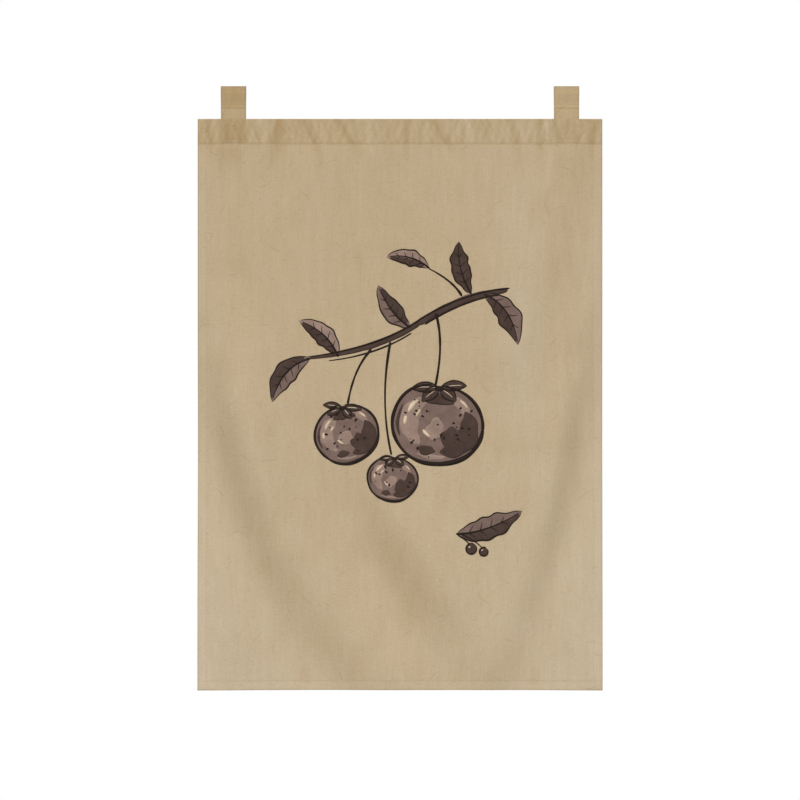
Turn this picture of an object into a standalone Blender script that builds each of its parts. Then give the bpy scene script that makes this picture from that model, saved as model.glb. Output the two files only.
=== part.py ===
"""Noren curtain: one length of cotton-linen cloth that hangs by two folded tabs.

Metres, +Z up, the printed front faces -Y. The origin is the crest inside the two
loops, where they bear on a rod, midway between them. Heights on the cloth are given
as "down", the distance below the top edge of the heading, and the relief of the
cloth as "forward", the distance that it stands towards the viewer.
"""

from collections import namedtuple

import bpy
import numpy as np

# Finished size of the cloth
CLOTH_WIDTH = 0.850
CLOTH_DROP = 1.200
HEADING_DROP = 0.052
HEM_WIDTH = 0.020

# Tabs: two strips folded over a rod, their legs sewn behind the heading
TAB_WIDTH = 0.053
TAB_INSET = 0.0485
TAB_RISE = 0.0693
TAB_SEAM_BELOW_CREST = 0.046
ROD_ROOM_RADIUS = 0.011
LEAVES_ROD_AT = np.radians(20)
NECK_RISE = 0.005
NECK_RUN = 0.020

# Thickness of one layer, of a turned hem, of the doubled heading, and the air left between pieces
LAYER = 0.0012
HEM_THICK = 0.0024
HEADING_THICK = 0.0026
AIR = 0.0003

# The rolled top edge and the sunk seam along the foot of the heading
ROLL_RADIUS = HEADING_THICK / 2
SEAM_SINK = 0.0006
SEAM_HALF_WIDTH = 0.0012
FIRST_ROLL_LINE = 0.35
ROLL_EDGE_SHARE = 0.95

# Planes that the pieces hang in
LEG_CENTRE = (LAYER + AIR) / 2
HEADING_BACK = -(LEG_CENTRE + LAYER / 2 + AIR)
CLOTH_FRONT = HEADING_BACK - HEADING_THICK
HEADING_TOP = LAYER - TAB_RISE
TAB_SEAM_Z = LAYER - TAB_SEAM_BELOW_CREST

# Spacing of the mesh lines
HEADING_PITCH = 0.0089
PANEL_PITCH_X = 0.0215
PANEL_PITCH_Z = 0.0250
HEM_STEP = 0.0010
HEADING_SPACES = 4
ROD_ARC_POINTS = 9
NECK_POINTS = 5
LEG_SPACES_ABOVE_HEADING = 4
PATH_SAMPLES = 121

# Long folds of the hanging cloth. Each follows a bent path from a start near a tab to the
# foot of the cloth: its upper, inner side stands forward and its lower, outer side falls back.
Fold = namedtuple("Fold", "name x_start down_start x_bend down_bend x_end down_end "
                          "half_start half_end depth ease_in ease_out")
FOLDS = (
    Fold("left_swag", -0.386, 0.330, -0.406, 0.925, -0.058, 1.205, 0.048, 0.058, 0.0186, 0.36, 0.72),
    Fold("centre_swag", -0.112, 0.560, -0.066, 0.936, 0.165, 1.170, 0.052, 0.062, 0.0150, 0.56, 0.48),
    Fold("right_swag", 0.399, 0.310, 0.375, 0.850, 0.204, 1.208, 0.035, 0.040, 0.0090, 0.40, 0.50),
    Fold("left_shoulder", -0.392, 0.110, -0.375, 0.270, -0.270, 0.410, 0.028, 0.034, 0.0017, 0.40, 0.40),
    Fold("right_shoulder", 0.382, 0.020, 0.360, 0.220, 0.305, 0.480, 0.028, 0.034, 0.0017, 0.40, 0.40),
)
FOLD_END_SHARE = 0.28
FOLD_RUN_OUT = 0.060

# Broad swells, such as the two lower corners that swing forward
Swell = namedtuple("Swell", "name x down half_width half_height forward")
SWELLS = (
    Swell("left_foot", -0.420, 1.230, 0.115, 0.330, 0.018),
    Swell("right_foot", 0.430, 1.230, 0.105, 0.330, 0.017),
    Swell("middle_foot", 0.060, 1.240, 0.110, 0.220, 0.004),
    Swell("right_upper", 0.262, 0.340, 0.045, 0.260, 0.006),
    Swell("left_upper", -0.310, 0.600, 0.060, 0.240, 0.005),
)

# Puckers drawn into the heading by its seam: place at its top and at its foot
Pucker = namedtuple("Pucker", "name x_top x_foot half_width forward")
PUCKERS = (
    Pucker("left_end", -0.404, -0.400, 0.008, -0.0010),
    Pucker("left_tab", -0.350, -0.350, 0.026, 0.0009),
    Pucker("beside_left_tab", -0.288, -0.284, 0.008, 0.0007),
    Pucker("broad_left", -0.252, -0.256, 0.012, -0.0015),
    Pucker("left_slant", -0.206, -0.180, 0.009, -0.0011),
    Pucker("left_curve", -0.134, -0.102, 0.009, -0.0010),
    Pucker("inner_left", -0.066, -0.064, 0.009, 0.0008),
    Pucker("middle", 0.012, 0.013, 0.008, -0.0011),
    Pucker("right_slant", 0.066, 0.098, 0.009, -0.0011),
    Pucker("inner_right", 0.138, 0.154, 0.010, 0.0009),
    Pucker("right_pair", 0.232, 0.244, 0.009, -0.0010),
    Pucker("beside_right_tab", 0.292, 0.296, 0.008, -0.0008),
    Pucker("right_tab", 0.350, 0.350, 0.026, 0.0009),
    Pucker("right_end", 0.400, 0.404, 0.008, -0.0012),
)
PUCKER_REACH = 0.030
PUCKER_END_SHARE = 1.5

# Finish: colour, roughness and metallic value
CLOTH_COLOUR = (0.503, 0.392, 0.243, 1.0)
HEADING_COLOUR = (0.470, 0.360, 0.215, 1.0)
TAB_COLOUR = (0.423, 0.312, 0.178, 1.0)
CLOTH_ROUGHNESS = 0.9
SHARP_EDGE = np.radians(40)


def smooth_step(share):
    """0 below 0, 1 above 1 and an even S between."""
    share = np.clip(share, 0.0, 1.0)
    return share * share * (3.0 - 2.0 * share)


def lines_between(stops, pitch):
    """Even mesh lines no further apart than the pitch, with a line at every stop."""
    lines = [np.array(stops[:1])]
    for low, high in zip(stops, stops[1:]):
        count = max(1, int(np.ceil((high - low) / pitch - 1e-6)))
        lines.append(np.linspace(low, high, count + 1)[1:])
    return np.concatenate(lines)


def fold_relief(fold, x, down):
    """Forward relief of one long fold: u = distance across the path in half widths, and the
    relief is -u exp((1 - u^2) / 2) times the depth, eased in and out along the path."""
    start = np.array((fold.x_start, fold.down_start))
    bend = np.array((fold.x_bend, fold.down_bend))
    end = np.array((fold.x_end, fold.down_end))
    t = np.linspace(0.0, 1.0, PATH_SAMPLES)[:, None]
    path = (1 - t) ** 2 * start + 2 * t * (1 - t) * bend + t ** 2 * end
    way = (1 - t) * (bend - start) + t * (end - bend)
    way /= np.linalg.norm(way, axis=1)[:, None]
    points = np.stack((x.ravel(), down.ravel()), axis=1)
    offset = points[:, None, :] - path[None]
    near = np.argmin((offset ** 2).sum(axis=2), axis=1)
    offset = offset[np.arange(len(points)), near]
    way = way[near]
    outer_side = np.sign(fold.x_end - fold.x_start)
    across = (way[:, 0] * offset[:, 1] - way[:, 1] * offset[:, 0]) * outer_side
    beyond = (way * offset).sum(axis=1)
    share = t[near, 0]
    u = across / (fold.half_start + (fold.half_end - fold.half_start) * share)
    eased = smooth_step(share / fold.ease_in)
    eased = eased * (FOLD_END_SHARE + (1 - FOLD_END_SHARE) * smooth_step((1 - share) / fold.ease_out))
    run_out = np.exp(-(beyond / FOLD_RUN_OUT) ** 2)
    relief = -u * np.exp((1 - u ** 2) / 2) * fold.depth * eased * run_out
    return relief.reshape(x.shape)


def forward_of(x, down):
    """Relief of the cloth at places x and down: folds, swells and puckers added together."""
    x, down = np.broadcast_arrays(x, down)
    relief = np.zeros(x.shape)
    for fold in FOLDS:
        relief += fold_relief(fold, x, down)
    for swell in SWELLS:
        bell = ((x - swell.x) / swell.half_width) ** 2 + ((down - swell.down) / swell.half_height) ** 2
        relief += swell.forward * np.exp(-bell)
    below_seam = np.clip(down - HEADING_DROP, 0.0, None)
    fade = np.exp(-(below_seam / PUCKER_REACH) ** 2)
    for pucker in PUCKERS:
        share = np.clip(down / HEADING_DROP, 0.0, PUCKER_END_SHARE)
        centre = pucker.x_top + (pucker.x_foot - pucker.x_top) * share
        relief += pucker.forward * fade * np.exp(-((x - centre) / pucker.half_width) ** 2)
    return relief


def grid_triangles(first, rows, columns, flipped=False):
    """Two triangles for each cell of a grid of vertices numbered row by row."""
    row, column = np.meshgrid(np.arange(rows - 1), np.arange(columns - 1), indexing="ij")
    a = (first + row * columns + column).ravel()
    b = a + 1
    c = a + columns
    d = c + 1
    triangles = np.concatenate((np.stack((a, c, b), 1), np.stack((b, c, d), 1)))
    return triangles[:, ::-1] if flipped else triangles


def rim_triangles(front, back):
    """A band of triangles that joins a row of front vertices to the row behind it."""
    one = np.stack((front[:-1], back[:-1], front[1:]), 1)
    two = np.stack((front[1:], back[:-1], back[1:]), 1)
    return np.concatenate((one, two))


def closed_slab(front, back):
    """Vertices and triangles of the closed body between two grids of points. The front grid
    has rows downwards and columns to the right, seen from the side that it faces."""
    rows, columns = front.shape[:2]
    count = rows * columns
    places = np.concatenate((front.reshape(-1, 3), back.reshape(-1, 3)))
    number = np.arange(count).reshape(rows, columns)
    edges = (number[0, ::-1], number[:, 0], number[-1, :], number[::-1, -1])
    triangles = [grid_triangles(0, rows, columns), grid_triangles(count, rows, columns, flipped=True)]
    triangles += [rim_triangles(edge, edge + count) for edge in edges]
    return places, np.concatenate(triangles)


def cloth_material(name, colour):
    """Plain matt cloth."""
    material = bpy.data.materials.new(name)
    material.use_nodes = True
    shader = material.node_tree.nodes["Principled BSDF"]
    shader.inputs["Base Color"].default_value = colour
    shader.inputs["Roughness"].default_value = CLOTH_ROUGHNESS
    shader.inputs["Metallic"].default_value = 0.0
    return material


def add_piece(name, places, triangles, colour):
    """Put one closed body into the scene, shaded smooth, with a material of its own."""
    mesh = bpy.data.meshes.new(name)
    mesh.from_pydata(places.tolist(), [], triangles.tolist())
    mesh.validate()
    mesh.shade_smooth()
    mesh.set_sharp_from_angle(angle=SHARP_EDGE)
    piece = bpy.data.objects.new(name, mesh)
    piece.data.materials.append(cloth_material(name, colour))
    bpy.context.collection.objects.link(piece)


def cloth_points(x, down, depth):
    """Points of the cloth: depth is how far behind its front face each one lies."""
    forward = forward_of(x, down)
    return np.stack((x, CLOTH_FRONT - forward + depth, HEADING_TOP - down), axis=-1)


def heading_rows():
    """Heights of the heading's mesh lines, close together in the roll and at the seam."""
    first = FIRST_ROLL_LINE * ROLL_RADIUS
    stops = (0.0, first, ROLL_RADIUS, HEADING_DROP - SEAM_HALF_WIDTH, HEADING_DROP)
    return lines_between(stops, HEADING_DROP / HEADING_SPACES)


def heading_columns():
    """Places of the heading's mesh lines, the same within a tab as that tab's own lines."""
    half = CLOTH_WIDTH / 2
    inner = half - TAB_INSET - TAB_WIDTH
    outer = half - TAB_INSET
    return lines_between((-half, -outer, -inner, inner, outer, half), HEADING_PITCH)


def make_heading():
    """The doubled top band: round along its top edge, sunk a little at the seam at its foot."""
    x, down = np.meshgrid(heading_columns(), heading_rows())
    into_roll = np.clip(1 - down / ROLL_RADIUS, 0.0, ROLL_EDGE_SHARE)
    roll = ROLL_RADIUS * (1 - np.sqrt(1 - into_roll ** 2))
    sink = SEAM_SINK * np.clip((down - HEADING_DROP) / SEAM_HALF_WIDTH + 1, 0.0, 1.0)
    front = cloth_points(x, down, roll + sink)
    back = cloth_points(x, down, HEADING_THICK - roll)
    add_piece("heading", *closed_slab(front, back), HEADING_COLOUR)


def make_panel():
    """The length of cloth below the heading, with its side and bottom hems turned to the back."""
    half = CLOTH_WIDTH / 2
    side = half - HEM_WIDTH
    columns = lines_between((-half, -side, HEM_STEP - side, side - HEM_STEP, side, half), PANEL_PITCH_X)
    top = HEADING_DROP + AIR
    hem = CLOTH_DROP - HEM_WIDTH
    rows = lines_between((top, top + SEAM_HALF_WIDTH, hem - HEM_STEP, hem, CLOTH_DROP), PANEL_PITCH_Z)
    x, down = np.meshgrid(columns, rows)
    in_side_hem = smooth_step((np.abs(x) - side) / HEM_STEP + 1)
    in_foot_hem = smooth_step((down - hem) / HEM_STEP + 1)
    thick = LAYER + (HEM_THICK - LAYER) * np.maximum(in_side_hem, in_foot_hem)
    sink = SEAM_SINK * np.clip(1 - (down - top) / SEAM_HALF_WIDTH, 0.0, 1.0)
    front = cloth_points(x, down, sink)
    back = cloth_points(x, down, thick)
    add_piece("panel", *closed_slab(front, back), CLOTH_COLOUR)


def loop_path():
    """Middle line of a tab seen from its side, as depth, height and turn of the strip: up the
    front leg, out of the seam in a bent curve, round the rod's room and down the back leg."""
    radius = ROD_ROOM_RADIUS + LAYER / 2
    centre_z = -ROD_ROOM_RADIUS
    turn = np.linspace(-LEAVES_ROD_AT, np.pi / 2, ROD_ARC_POINTS)
    arc = np.stack((-radius * np.cos(turn), centre_z + radius * np.sin(turn)), 1)
    arc_along = np.stack((np.sin(turn), np.cos(turn)), 1)
    seam = np.array((-LEG_CENTRE, TAB_SEAM_Z))
    rise = seam + (0.0, NECK_RISE)
    approach = arc[0] - arc_along[0] * NECK_RUN
    t = np.linspace(0.0, 1.0, NECK_POINTS + 2)[1:-1, None]
    neck = ((1 - t) ** 3 * seam + 3 * t * (1 - t) ** 2 * rise
            + 3 * t ** 2 * (1 - t) * approach + t ** 3 * arc[0])
    leg_z = HEADING_TOP - heading_rows()[::-1]
    above = np.linspace(HEADING_TOP, TAB_SEAM_Z, LEG_SPACES_ABOVE_HEADING + 1)[1:]
    leg = np.stack((np.full(len(leg_z) + len(above), -LEG_CENTRE), np.concatenate((leg_z, above))), 1)
    front = np.concatenate((leg, neck, arc))
    back = front[-2::-1] * (-1.0, 1.0)
    path = np.concatenate((front, back))
    along = np.gradient(path, axis=0)
    along /= np.linalg.norm(along, axis=1)[:, None]
    along[path[:, 1] <= TAB_SEAM_Z] = (0.0, 1.0)
    along[len(front):][path[len(front):, 1] <= TAB_SEAM_Z] = (0.0, -1.0)
    return path, along


def make_tab(name, left_edge):
    """One strip folded over the rod's room. Its legs lie on the back of the heading and follow
    its puckers, which fade out above the top edge of the heading."""
    columns = heading_columns()
    inside = (columns > left_edge - HEM_STEP) & (columns < left_edge + TAB_WIDTH + HEM_STEP)
    columns = columns[inside]
    path, along = loop_path()
    x, depth = np.meshgrid(columns, path[:, 0])
    z = np.broadcast_to(path[:, 1:], x.shape)
    outward = np.stack((-along[:, 1], along[:, 0]), 1)
    down = np.clip(HEADING_TOP - z, 0.0, None)
    above = smooth_step((z - HEADING_TOP) / (TAB_SEAM_Z - HEADING_TOP))
    depth = depth - forward_of(x, down) * (1 - above)
    layers = []
    for side in (0.5, -0.5):
        shift = outward[:, None, :] * LAYER * side
        layers.append(np.stack((x, depth + shift[..., 0], z + shift[..., 1]), axis=-1)[::-1])
    add_piece(name, *closed_slab(*layers), TAB_COLOUR)


def clear_scene():
    for thing in list(bpy.data.objects):
        bpy.data.objects.remove(thing, do_unlink=True)


def main():
    clear_scene()
    make_panel()
    make_heading()
    make_tab("tab_left", -CLOTH_WIDTH / 2 + TAB_INSET)
    make_tab("tab_right", CLOTH_WIDTH / 2 - TAB_INSET - TAB_WIDTH)


main()
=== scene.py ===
"""Noren curtain, dressed for a studio picture.

One length of tan cotton-linen cloth with turned hems and a doubled heading, two hanging tabs,
the stitches that hold them, and a brush-drawn print of fruit on a branch. Metres, +Z up, the
printed front faces -Y. "Down" is the distance below the top edge of the heading, "forward" the
distance that the cloth stands towards the viewer, and "depth" the distance behind its front.
"""

from collections import namedtuple

import bpy
import numpy as np
from bpy.props import FloatProperty, FloatVectorProperty, PointerProperty
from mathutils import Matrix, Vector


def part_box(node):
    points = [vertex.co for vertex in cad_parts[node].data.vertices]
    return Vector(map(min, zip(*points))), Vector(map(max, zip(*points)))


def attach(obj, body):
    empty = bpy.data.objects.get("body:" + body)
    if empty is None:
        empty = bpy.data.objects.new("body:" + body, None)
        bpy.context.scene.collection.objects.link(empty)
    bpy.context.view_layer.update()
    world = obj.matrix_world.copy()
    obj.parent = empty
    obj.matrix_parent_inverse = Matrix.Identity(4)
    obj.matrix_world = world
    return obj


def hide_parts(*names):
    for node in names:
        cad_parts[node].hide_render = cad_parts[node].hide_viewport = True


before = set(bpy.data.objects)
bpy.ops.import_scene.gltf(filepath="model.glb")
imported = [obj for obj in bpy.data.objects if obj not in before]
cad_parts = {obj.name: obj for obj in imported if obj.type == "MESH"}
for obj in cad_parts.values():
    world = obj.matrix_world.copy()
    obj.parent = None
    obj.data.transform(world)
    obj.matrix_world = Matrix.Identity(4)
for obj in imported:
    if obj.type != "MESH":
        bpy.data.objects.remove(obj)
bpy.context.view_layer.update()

bl_info = {
    "name": "Noren Curtain",
    "version": (1, 0, 0),
    "blender": (4, 5, 0),
    "location": "3D View > Sidebar > Noren",
    "description": "Makes the cloth, tabs, sewing, print and studio of a hanging noren curtain",
    "category": "Add Mesh",
}

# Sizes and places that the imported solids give
PANEL_LOW, PANEL_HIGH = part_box("panel")
HEADING_LOW, HEADING_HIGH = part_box("heading")
TAB_LOW, TAB_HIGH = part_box("tab_left")
CLOTH_WIDTH = PANEL_HIGH[0] - PANEL_LOW[0]
HEADING_TOP = HEADING_HIGH[2]
HEADING_DROP = HEADING_TOP - HEADING_LOW[2]
CLOTH_DROP = HEADING_TOP - PANEL_LOW[2]
TAB_WIDTH = TAB_HIGH[0] - TAB_LOW[0]
TAB_INSET = TAB_LOW[0] - PANEL_LOW[0]

# Planes that the cloth and the legs of the tabs hang in
CLOTH_FRONT = -0.00425
LEG_CENTRE = 0.00075

# The loop of a tab: room for the rod, the seam that closes it and the neck between
TAB_SEAM_Z = -0.0448
ROD_ROOM_RADIUS = 0.011
LOOP_RADIUS = 0.0116
LEAVES_ROD_AT = np.radians(20)
NECK_RISE = 0.005
NECK_RUN = 0.020

# Turned edges: the cloth that is turned in, and the layers that lie on each other there
FOOT_ALLOWANCE = 0.009
HEADING_ALLOWANCE = 0.013
HEADING_STACK = 0.0020
CORNER_STACK_LAYERS = 8
CORNER_CORE_LAYERS = 3
CORNER_BLEND = 0.010
TURN_SPACES = 6
CLEAR_OF_TURN = 0.003

# Seams: how far each row of stitches runs inside the edge that it holds, the trough that it pulls
# in and the gathers beside it, whose phase wanders by sines of these heights and lengths. The
# foot hem's gathers and the troughs of all hems are shares of the heading's
HEADING_SEAM_UP = 0.0006
HEM_SEAM_IN = 0.0014
SEAM_PINCH = 0.00040
SEAM_HALF_WIDTH = 0.0016
GATHER_DEPTH = 0.00016
GATHER_REACH = 0.007
GATHER_WAVE = 0.021
GATHER_WANDER = ((3.0, 0.047), (1.3, 0.019))
FOOT_GATHER_SHARE = 0.7
HEM_PINCH_SHARE = 0.6

# Mesh lines of the cloth
COLUMN_PITCH = 0.0037
HEADING_PITCH = 0.0032
BACK_PITCH = 0.0060
PANEL_PITCH = 0.0102
SEAM_PITCH = 0.0013
SEAM_MARGIN = 0.0050
PATH_SAMPLES = 121

# Long folds of the hanging cloth. Each follows a bent path from a start near a tab to the
# foot of the cloth: its upper, inner side stands forward and its lower, outer side falls back.
Fold = namedtuple("Fold", "name x_start down_start x_bend down_bend x_end down_end "
                          "half_start half_end depth ease_in ease_out")
FOLDS = (
    Fold("left_swag", -0.386, 0.330, -0.406, 0.925, -0.058, 1.205,
         0.048, 0.058, 0.0186, 0.36, 0.72),
    Fold("centre_swag", -0.112, 0.560, -0.066, 0.936, 0.165, 1.170,
         0.052, 0.062, 0.0150, 0.56, 0.48),
    Fold("right_swag", 0.399, 0.310, 0.375, 0.850, 0.204, 1.208,
         0.035, 0.040, 0.0090, 0.40, 0.50),
    Fold("left_shoulder", -0.392, 0.110, -0.375, 0.270, -0.270, 0.410,
         0.028, 0.034, 0.0017, 0.40, 0.40),
    Fold("right_shoulder", 0.382, 0.020, 0.360, 0.220, 0.305, 0.480,
         0.028, 0.034, 0.0017, 0.40, 0.40),
)
FOLD_END_SHARE = 0.28
FOLD_RUN_OUT = 0.060

# A soft patch of relief, tone or painted cool tint: its middle, its half sizes and its strength
Patch = namedtuple("Patch", "name x down half_width half_height strength")

# Broad swells, such as the two lower corners that swing forward
SWELLS = (
    Patch("left_foot", -0.420, 1.230, 0.115, 0.330, 0.018),
    Patch("right_foot", 0.430, 1.230, 0.105, 0.330, 0.017),
    Patch("middle_foot", 0.060, 1.240, 0.110, 0.220, 0.004),
    Patch("right_upper", 0.262, 0.340, 0.045, 0.260, 0.006),
    Patch("left_upper", -0.310, 0.600, 0.060, 0.240, 0.005),
)

# Puckers drawn into the heading by its seam: place at its top and at its foot
Pucker = namedtuple("Pucker", "name x_top x_foot half_width forward")
PUCKERS = (
    Pucker("left_end", -0.404, -0.400, 0.008, -0.0010),
    Pucker("left_tab", -0.350, -0.350, 0.026, 0.0009),
    Pucker("beside_left_tab", -0.288, -0.284, 0.008, 0.0007),
    Pucker("broad_left", -0.252, -0.256, 0.012, -0.0015),
    Pucker("left_slant", -0.206, -0.180, 0.009, -0.0011),
    Pucker("left_curve", -0.134, -0.102, 0.009, -0.0010),
    Pucker("inner_left", -0.066, -0.064, 0.009, 0.0008),
    Pucker("middle", 0.012, 0.013, 0.008, -0.0011),
    Pucker("right_slant", 0.066, 0.098, 0.009, -0.0011),
    Pucker("inner_right", 0.138, 0.154, 0.010, 0.0009),
    Pucker("right_pair", 0.232, 0.244, 0.009, -0.0010),
    Pucker("beside_right_tab", 0.292, 0.296, 0.008, -0.0008),
    Pucker("right_tab", 0.350, 0.350, 0.026, 0.0009),
    Pucker("right_end", 0.400, 0.404, 0.008, -0.0012),
)
PUCKER_REACH = 0.030
PUCKER_END_SHARE = 1.5

# Small creases that lie on the folds: a soft ridge or trough from one place to another
Crease = namedtuple("Crease", "name x_start down_start x_end down_end half_width forward")
CREASES = (
    Crease("left_corner", -0.4030, 1.166, -0.3930, 1.200, 0.0050, 0.0011),
    Crease("left_hem_pull", -0.4040, 0.560, -0.3800, 0.610, 0.0070, -0.0005),
    Crease("right_hem_pull", 0.4050, 0.690, 0.3820, 0.742, 0.0070, -0.0005),
    Crease("under_left_tab", -0.3240, 0.054, -0.3120, 0.150, 0.0080, 0.0007),
    Crease("under_left_tab_inner", -0.3760, 0.054, -0.3820, 0.128, 0.0070, -0.0006),
    Crease("under_right_tab", 0.3240, 0.054, 0.3050, 0.168, 0.0090, 0.0008),
    Crease("under_right_tab_outer", 0.3790, 0.054, 0.3870, 0.122, 0.0070, -0.0006),
    Crease("broad_left_tail", -0.2560, 0.054, -0.2700, 0.112, 0.0090, -0.0008),
    Crease("left_slant_tail", -0.1780, 0.054, -0.1660, 0.104, 0.0070, -0.0005),
    Crease("middle_tail", 0.0130, 0.054, 0.0170, 0.098, 0.0070, -0.0005),
    Crease("right_pair_tail", 0.2440, 0.054, 0.2540, 0.116, 0.0080, -0.0006),
    Crease("foot_left", -0.2100, 1.150, -0.1880, 1.199, 0.0110, -0.0009),
    Crease("foot_middle", -0.0050, 1.158, 0.0120, 1.199, 0.0100, 0.0007),
    Crease("foot_right", 0.2900, 1.150, 0.2740, 1.199, 0.0110, -0.0009),
)
HEADING_CREASES = (
    Crease("left_end_fine", -0.4050, 0.006, -0.4020, 0.050, 0.0032, -0.0003),
    Crease("beside_left_tab_fine", -0.2990, 0.008, -0.3020, 0.050, 0.0034, -0.0010),
    Crease("broad_left_fine", -0.2620, 0.004, -0.2480, 0.044, 0.0040, -0.0004),
    Crease("broad_left_foot", -0.2380, 0.030, -0.2520, 0.056, 0.0036, 0.0008),
    Crease("left_hook", -0.2340, 0.014, -0.2240, 0.036, 0.0034, -0.0008),
    Crease("inner_left_fine", -0.0920, 0.010, -0.0840, 0.050, 0.0034, 0.0008),
    Crease("middle_fine", -0.0200, 0.008, -0.0260, 0.050, 0.0034, -0.0007),
    Crease("inner_right_fine", 0.1160, 0.012, 0.1260, 0.050, 0.0034, 0.0007),
    Crease("right_fine", 0.1880, 0.004, 0.1800, 0.048, 0.0036, -0.0008),
    Crease("beside_right_tab_fine", 0.3100, 0.004, 0.3080, 0.050, 0.0034, 0.0012),
    Crease("right_tab_edge", 0.3990, 0.016, 0.4000, 0.052, 0.0032, -0.0003),
    Crease("right_end_fine", 0.4100, 0.002, 0.4090, 0.034, 0.0032, -0.0009),
)
CREASE_FADE = 0.25

# Many seeded waves, each with its own length and direction: the faint crumple of cloth that was
# folded away, and the uneven tone of the heading's puckered layers
Waves = namedtuple("Waves", "seed count shortest longest turn_from turn_to power")
CRUMPLE = Waves(11, 26, 0.045, 0.170, 0.0, np.pi, 1)
CRUMPLE_SLOPE = 0.0042
HEADING_MOTTLE = Waves(12, 26, 0.009, 0.030, -0.7, 0.7, 0)
HEADING_MOTTLE_TONE = 0.0075

# The layers of a tab push the heading forward and show through it
TAB_STEP = 0.00045
TAB_STEP_EDGE = 0.0030

# Tones painted on the cloth as shares of its colour
HEADING_TONE = 0.944
TAB_SHOW_THROUGH = (0.818, 0.912)
SHOW_THROUGH_EDGE = 0.022
# Painted shade in the troughs of puckers, creases and gathers and painted light on their ridges, as
# shares of tone for each metre of relief, on the cloth and in the heading
CREASE_TONE = 46.0
HEADING_CREASE_TONE = 88.0
# Painted shade where the long folds lean over and face down, and the step that measures the lean
FOLD_TONE = 0.26
LEAN_STEP = 0.004
# Painted shade along the heading's row of stitches, centred a little below it
SEAM_TONE = 0.88
SEAM_TONE_OFFSET = 0.0013
SEAM_TONE_HALF_WIDTH = 0.0022
HEM_TONE = 1.024
# Painted shade where the cloth and the tabs roll away at their very edges, with the cool tint over
# it
EDGE_TONE = 0.89
EDGE_SHADE_TINT = 0.80
EDGE_TONE_REACH = 0.0016
# Painted light: the cloth grows paler towards its foot
FOOT_TONE = 1.028

# Broad patches of painted light and shade, where folds, sides, corners and the cloth round the
# tabs are paler or darker. The stain and the knot among them are real marks in the cloth
TONE_PATCHES = (
    Patch("right_streak", 0.262, 0.400, 0.048, 0.300, 0.038),
    Patch("upper_middle", -0.060, 0.260, 0.130, 0.260, -0.020),
    Patch("under_left_tab", -0.300, 0.200, 0.060, 0.160, -0.010),
    Patch("left_side", -0.410, 0.640, 0.030, 0.500, 0.018),
    Patch("right_side", 0.410, 0.600, 0.034, 0.480, 0.018),
    Patch("left_corner", -0.400, 1.080, 0.110, 0.240, 0.024),
    Patch("right_corner", 0.400, 1.060, 0.100, 0.260, 0.024),
    Patch("low_middle", -0.060, 1.080, 0.120, 0.140, -0.018),
    Patch("foot_middle", 0.020, 1.190, 0.200, 0.050, -0.018),
    Patch("left_fold_top", -0.336, 0.748, 0.060, 0.120, 0.028),
    Patch("right_fold_top", 0.334, 0.822, 0.050, 0.120, 0.024),
    Patch("centre_fold_side", 0.022, 1.045, 0.032, 0.050, -0.046),
    Patch("heading_right", 0.268, 0.026, 0.052, 0.024, 0.024),
    Patch("heading_end", 0.402, 0.034, 0.009, 0.022, 0.034),
    Patch("left_tab_head", -0.350, 0.004, 0.028, 0.004, 0.034),
    Patch("right_tab_head", 0.350, 0.004, 0.028, 0.004, 0.020),
    Patch("left_tab_foot", -0.350, 0.049, 0.025, 0.003, 0.110),
    Patch("right_tab_foot", 0.350, 0.049, 0.025, 0.003, 0.090),
    Patch("below_left_tab", -0.350, 0.070, 0.029, 0.023, -0.100),
    Patch("below_right_tab", 0.350, 0.085, 0.034, 0.050, -0.046),
    Patch("left_shoulder", -0.340, 0.080, 0.130, 0.050, -0.024),
    Patch("right_shoulder", 0.405, 0.080, 0.050, 0.070, -0.032),
    Patch("stain", -0.189, 0.521, 0.009, 0.006, -0.060),
    Patch("knot", 0.2944, 0.0548, 0.0026, 0.0030, -0.150),
)
# Patches of painted light, where the cool tint whitens the cloth that is lit most: the foot, the
# sides and the streak on the right
PAINTED_LIGHT_TINT_PATCHES = (
    Patch("left_foot", -0.425, 1.150, 0.200, 0.420, 0.38),
    Patch("right_foot", 0.425, 1.150, 0.200, 0.420, 0.40),
    Patch("whole_foot", 0.000, 1.230, 0.600, 0.300, 0.36),
    Patch("left_side", -0.425, 0.600, 0.035, 0.560, 0.30),
    Patch("right_side", 0.425, 0.600, 0.035, 0.560, 0.30),
    Patch("right_streak", 0.250, 0.360, 0.050, 0.280, 0.40),
)

# Colour of the painted cool tint, for painted light and edge shade, over that of plain cloth,
# and the powers of the tone in green and blue
COOL_TINT_COLOUR = (1.0, 1.030, 1.110, 1.0)
TONE_POWERS = (1.38, 2.15)

# Camera: the whole frame is this wide at the curtain
FRAME_WIDTH = 1.6811
LENS_MM = 250.0
SENSOR_MM = 36.0
AIM_DOWN = 0.5906


def amount(name, description, default):
    """A plain number from 0 up."""
    return FloatProperty(name=name, description=description, default=default, min=0.0)


def brightness(name, description, default):
    """A share of the cloth's brightness."""
    return FloatProperty(name=name, description=description, default=default, min=0.0, max=2.0,
                         subtype="FACTOR")


def distance(name, description, default):
    """A length that the sidebar shows in the scene's units."""
    return FloatProperty(name=name, description=description, default=default, min=0.0,
                         unit="LENGTH", subtype="DISTANCE", precision=4)


def angle(name, description, degrees):
    """An angle, with its first value given in degrees."""
    return FloatProperty(name=name, description=description, default=np.radians(degrees),
                         unit="ROTATION", subtype="ANGLE")


def colour(name, description, default):
    """A linear colour."""
    return FloatVectorProperty(name=name, description=description, default=default, size=3,
                               min=0.0, max=1.0, subtype="COLOR")


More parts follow.
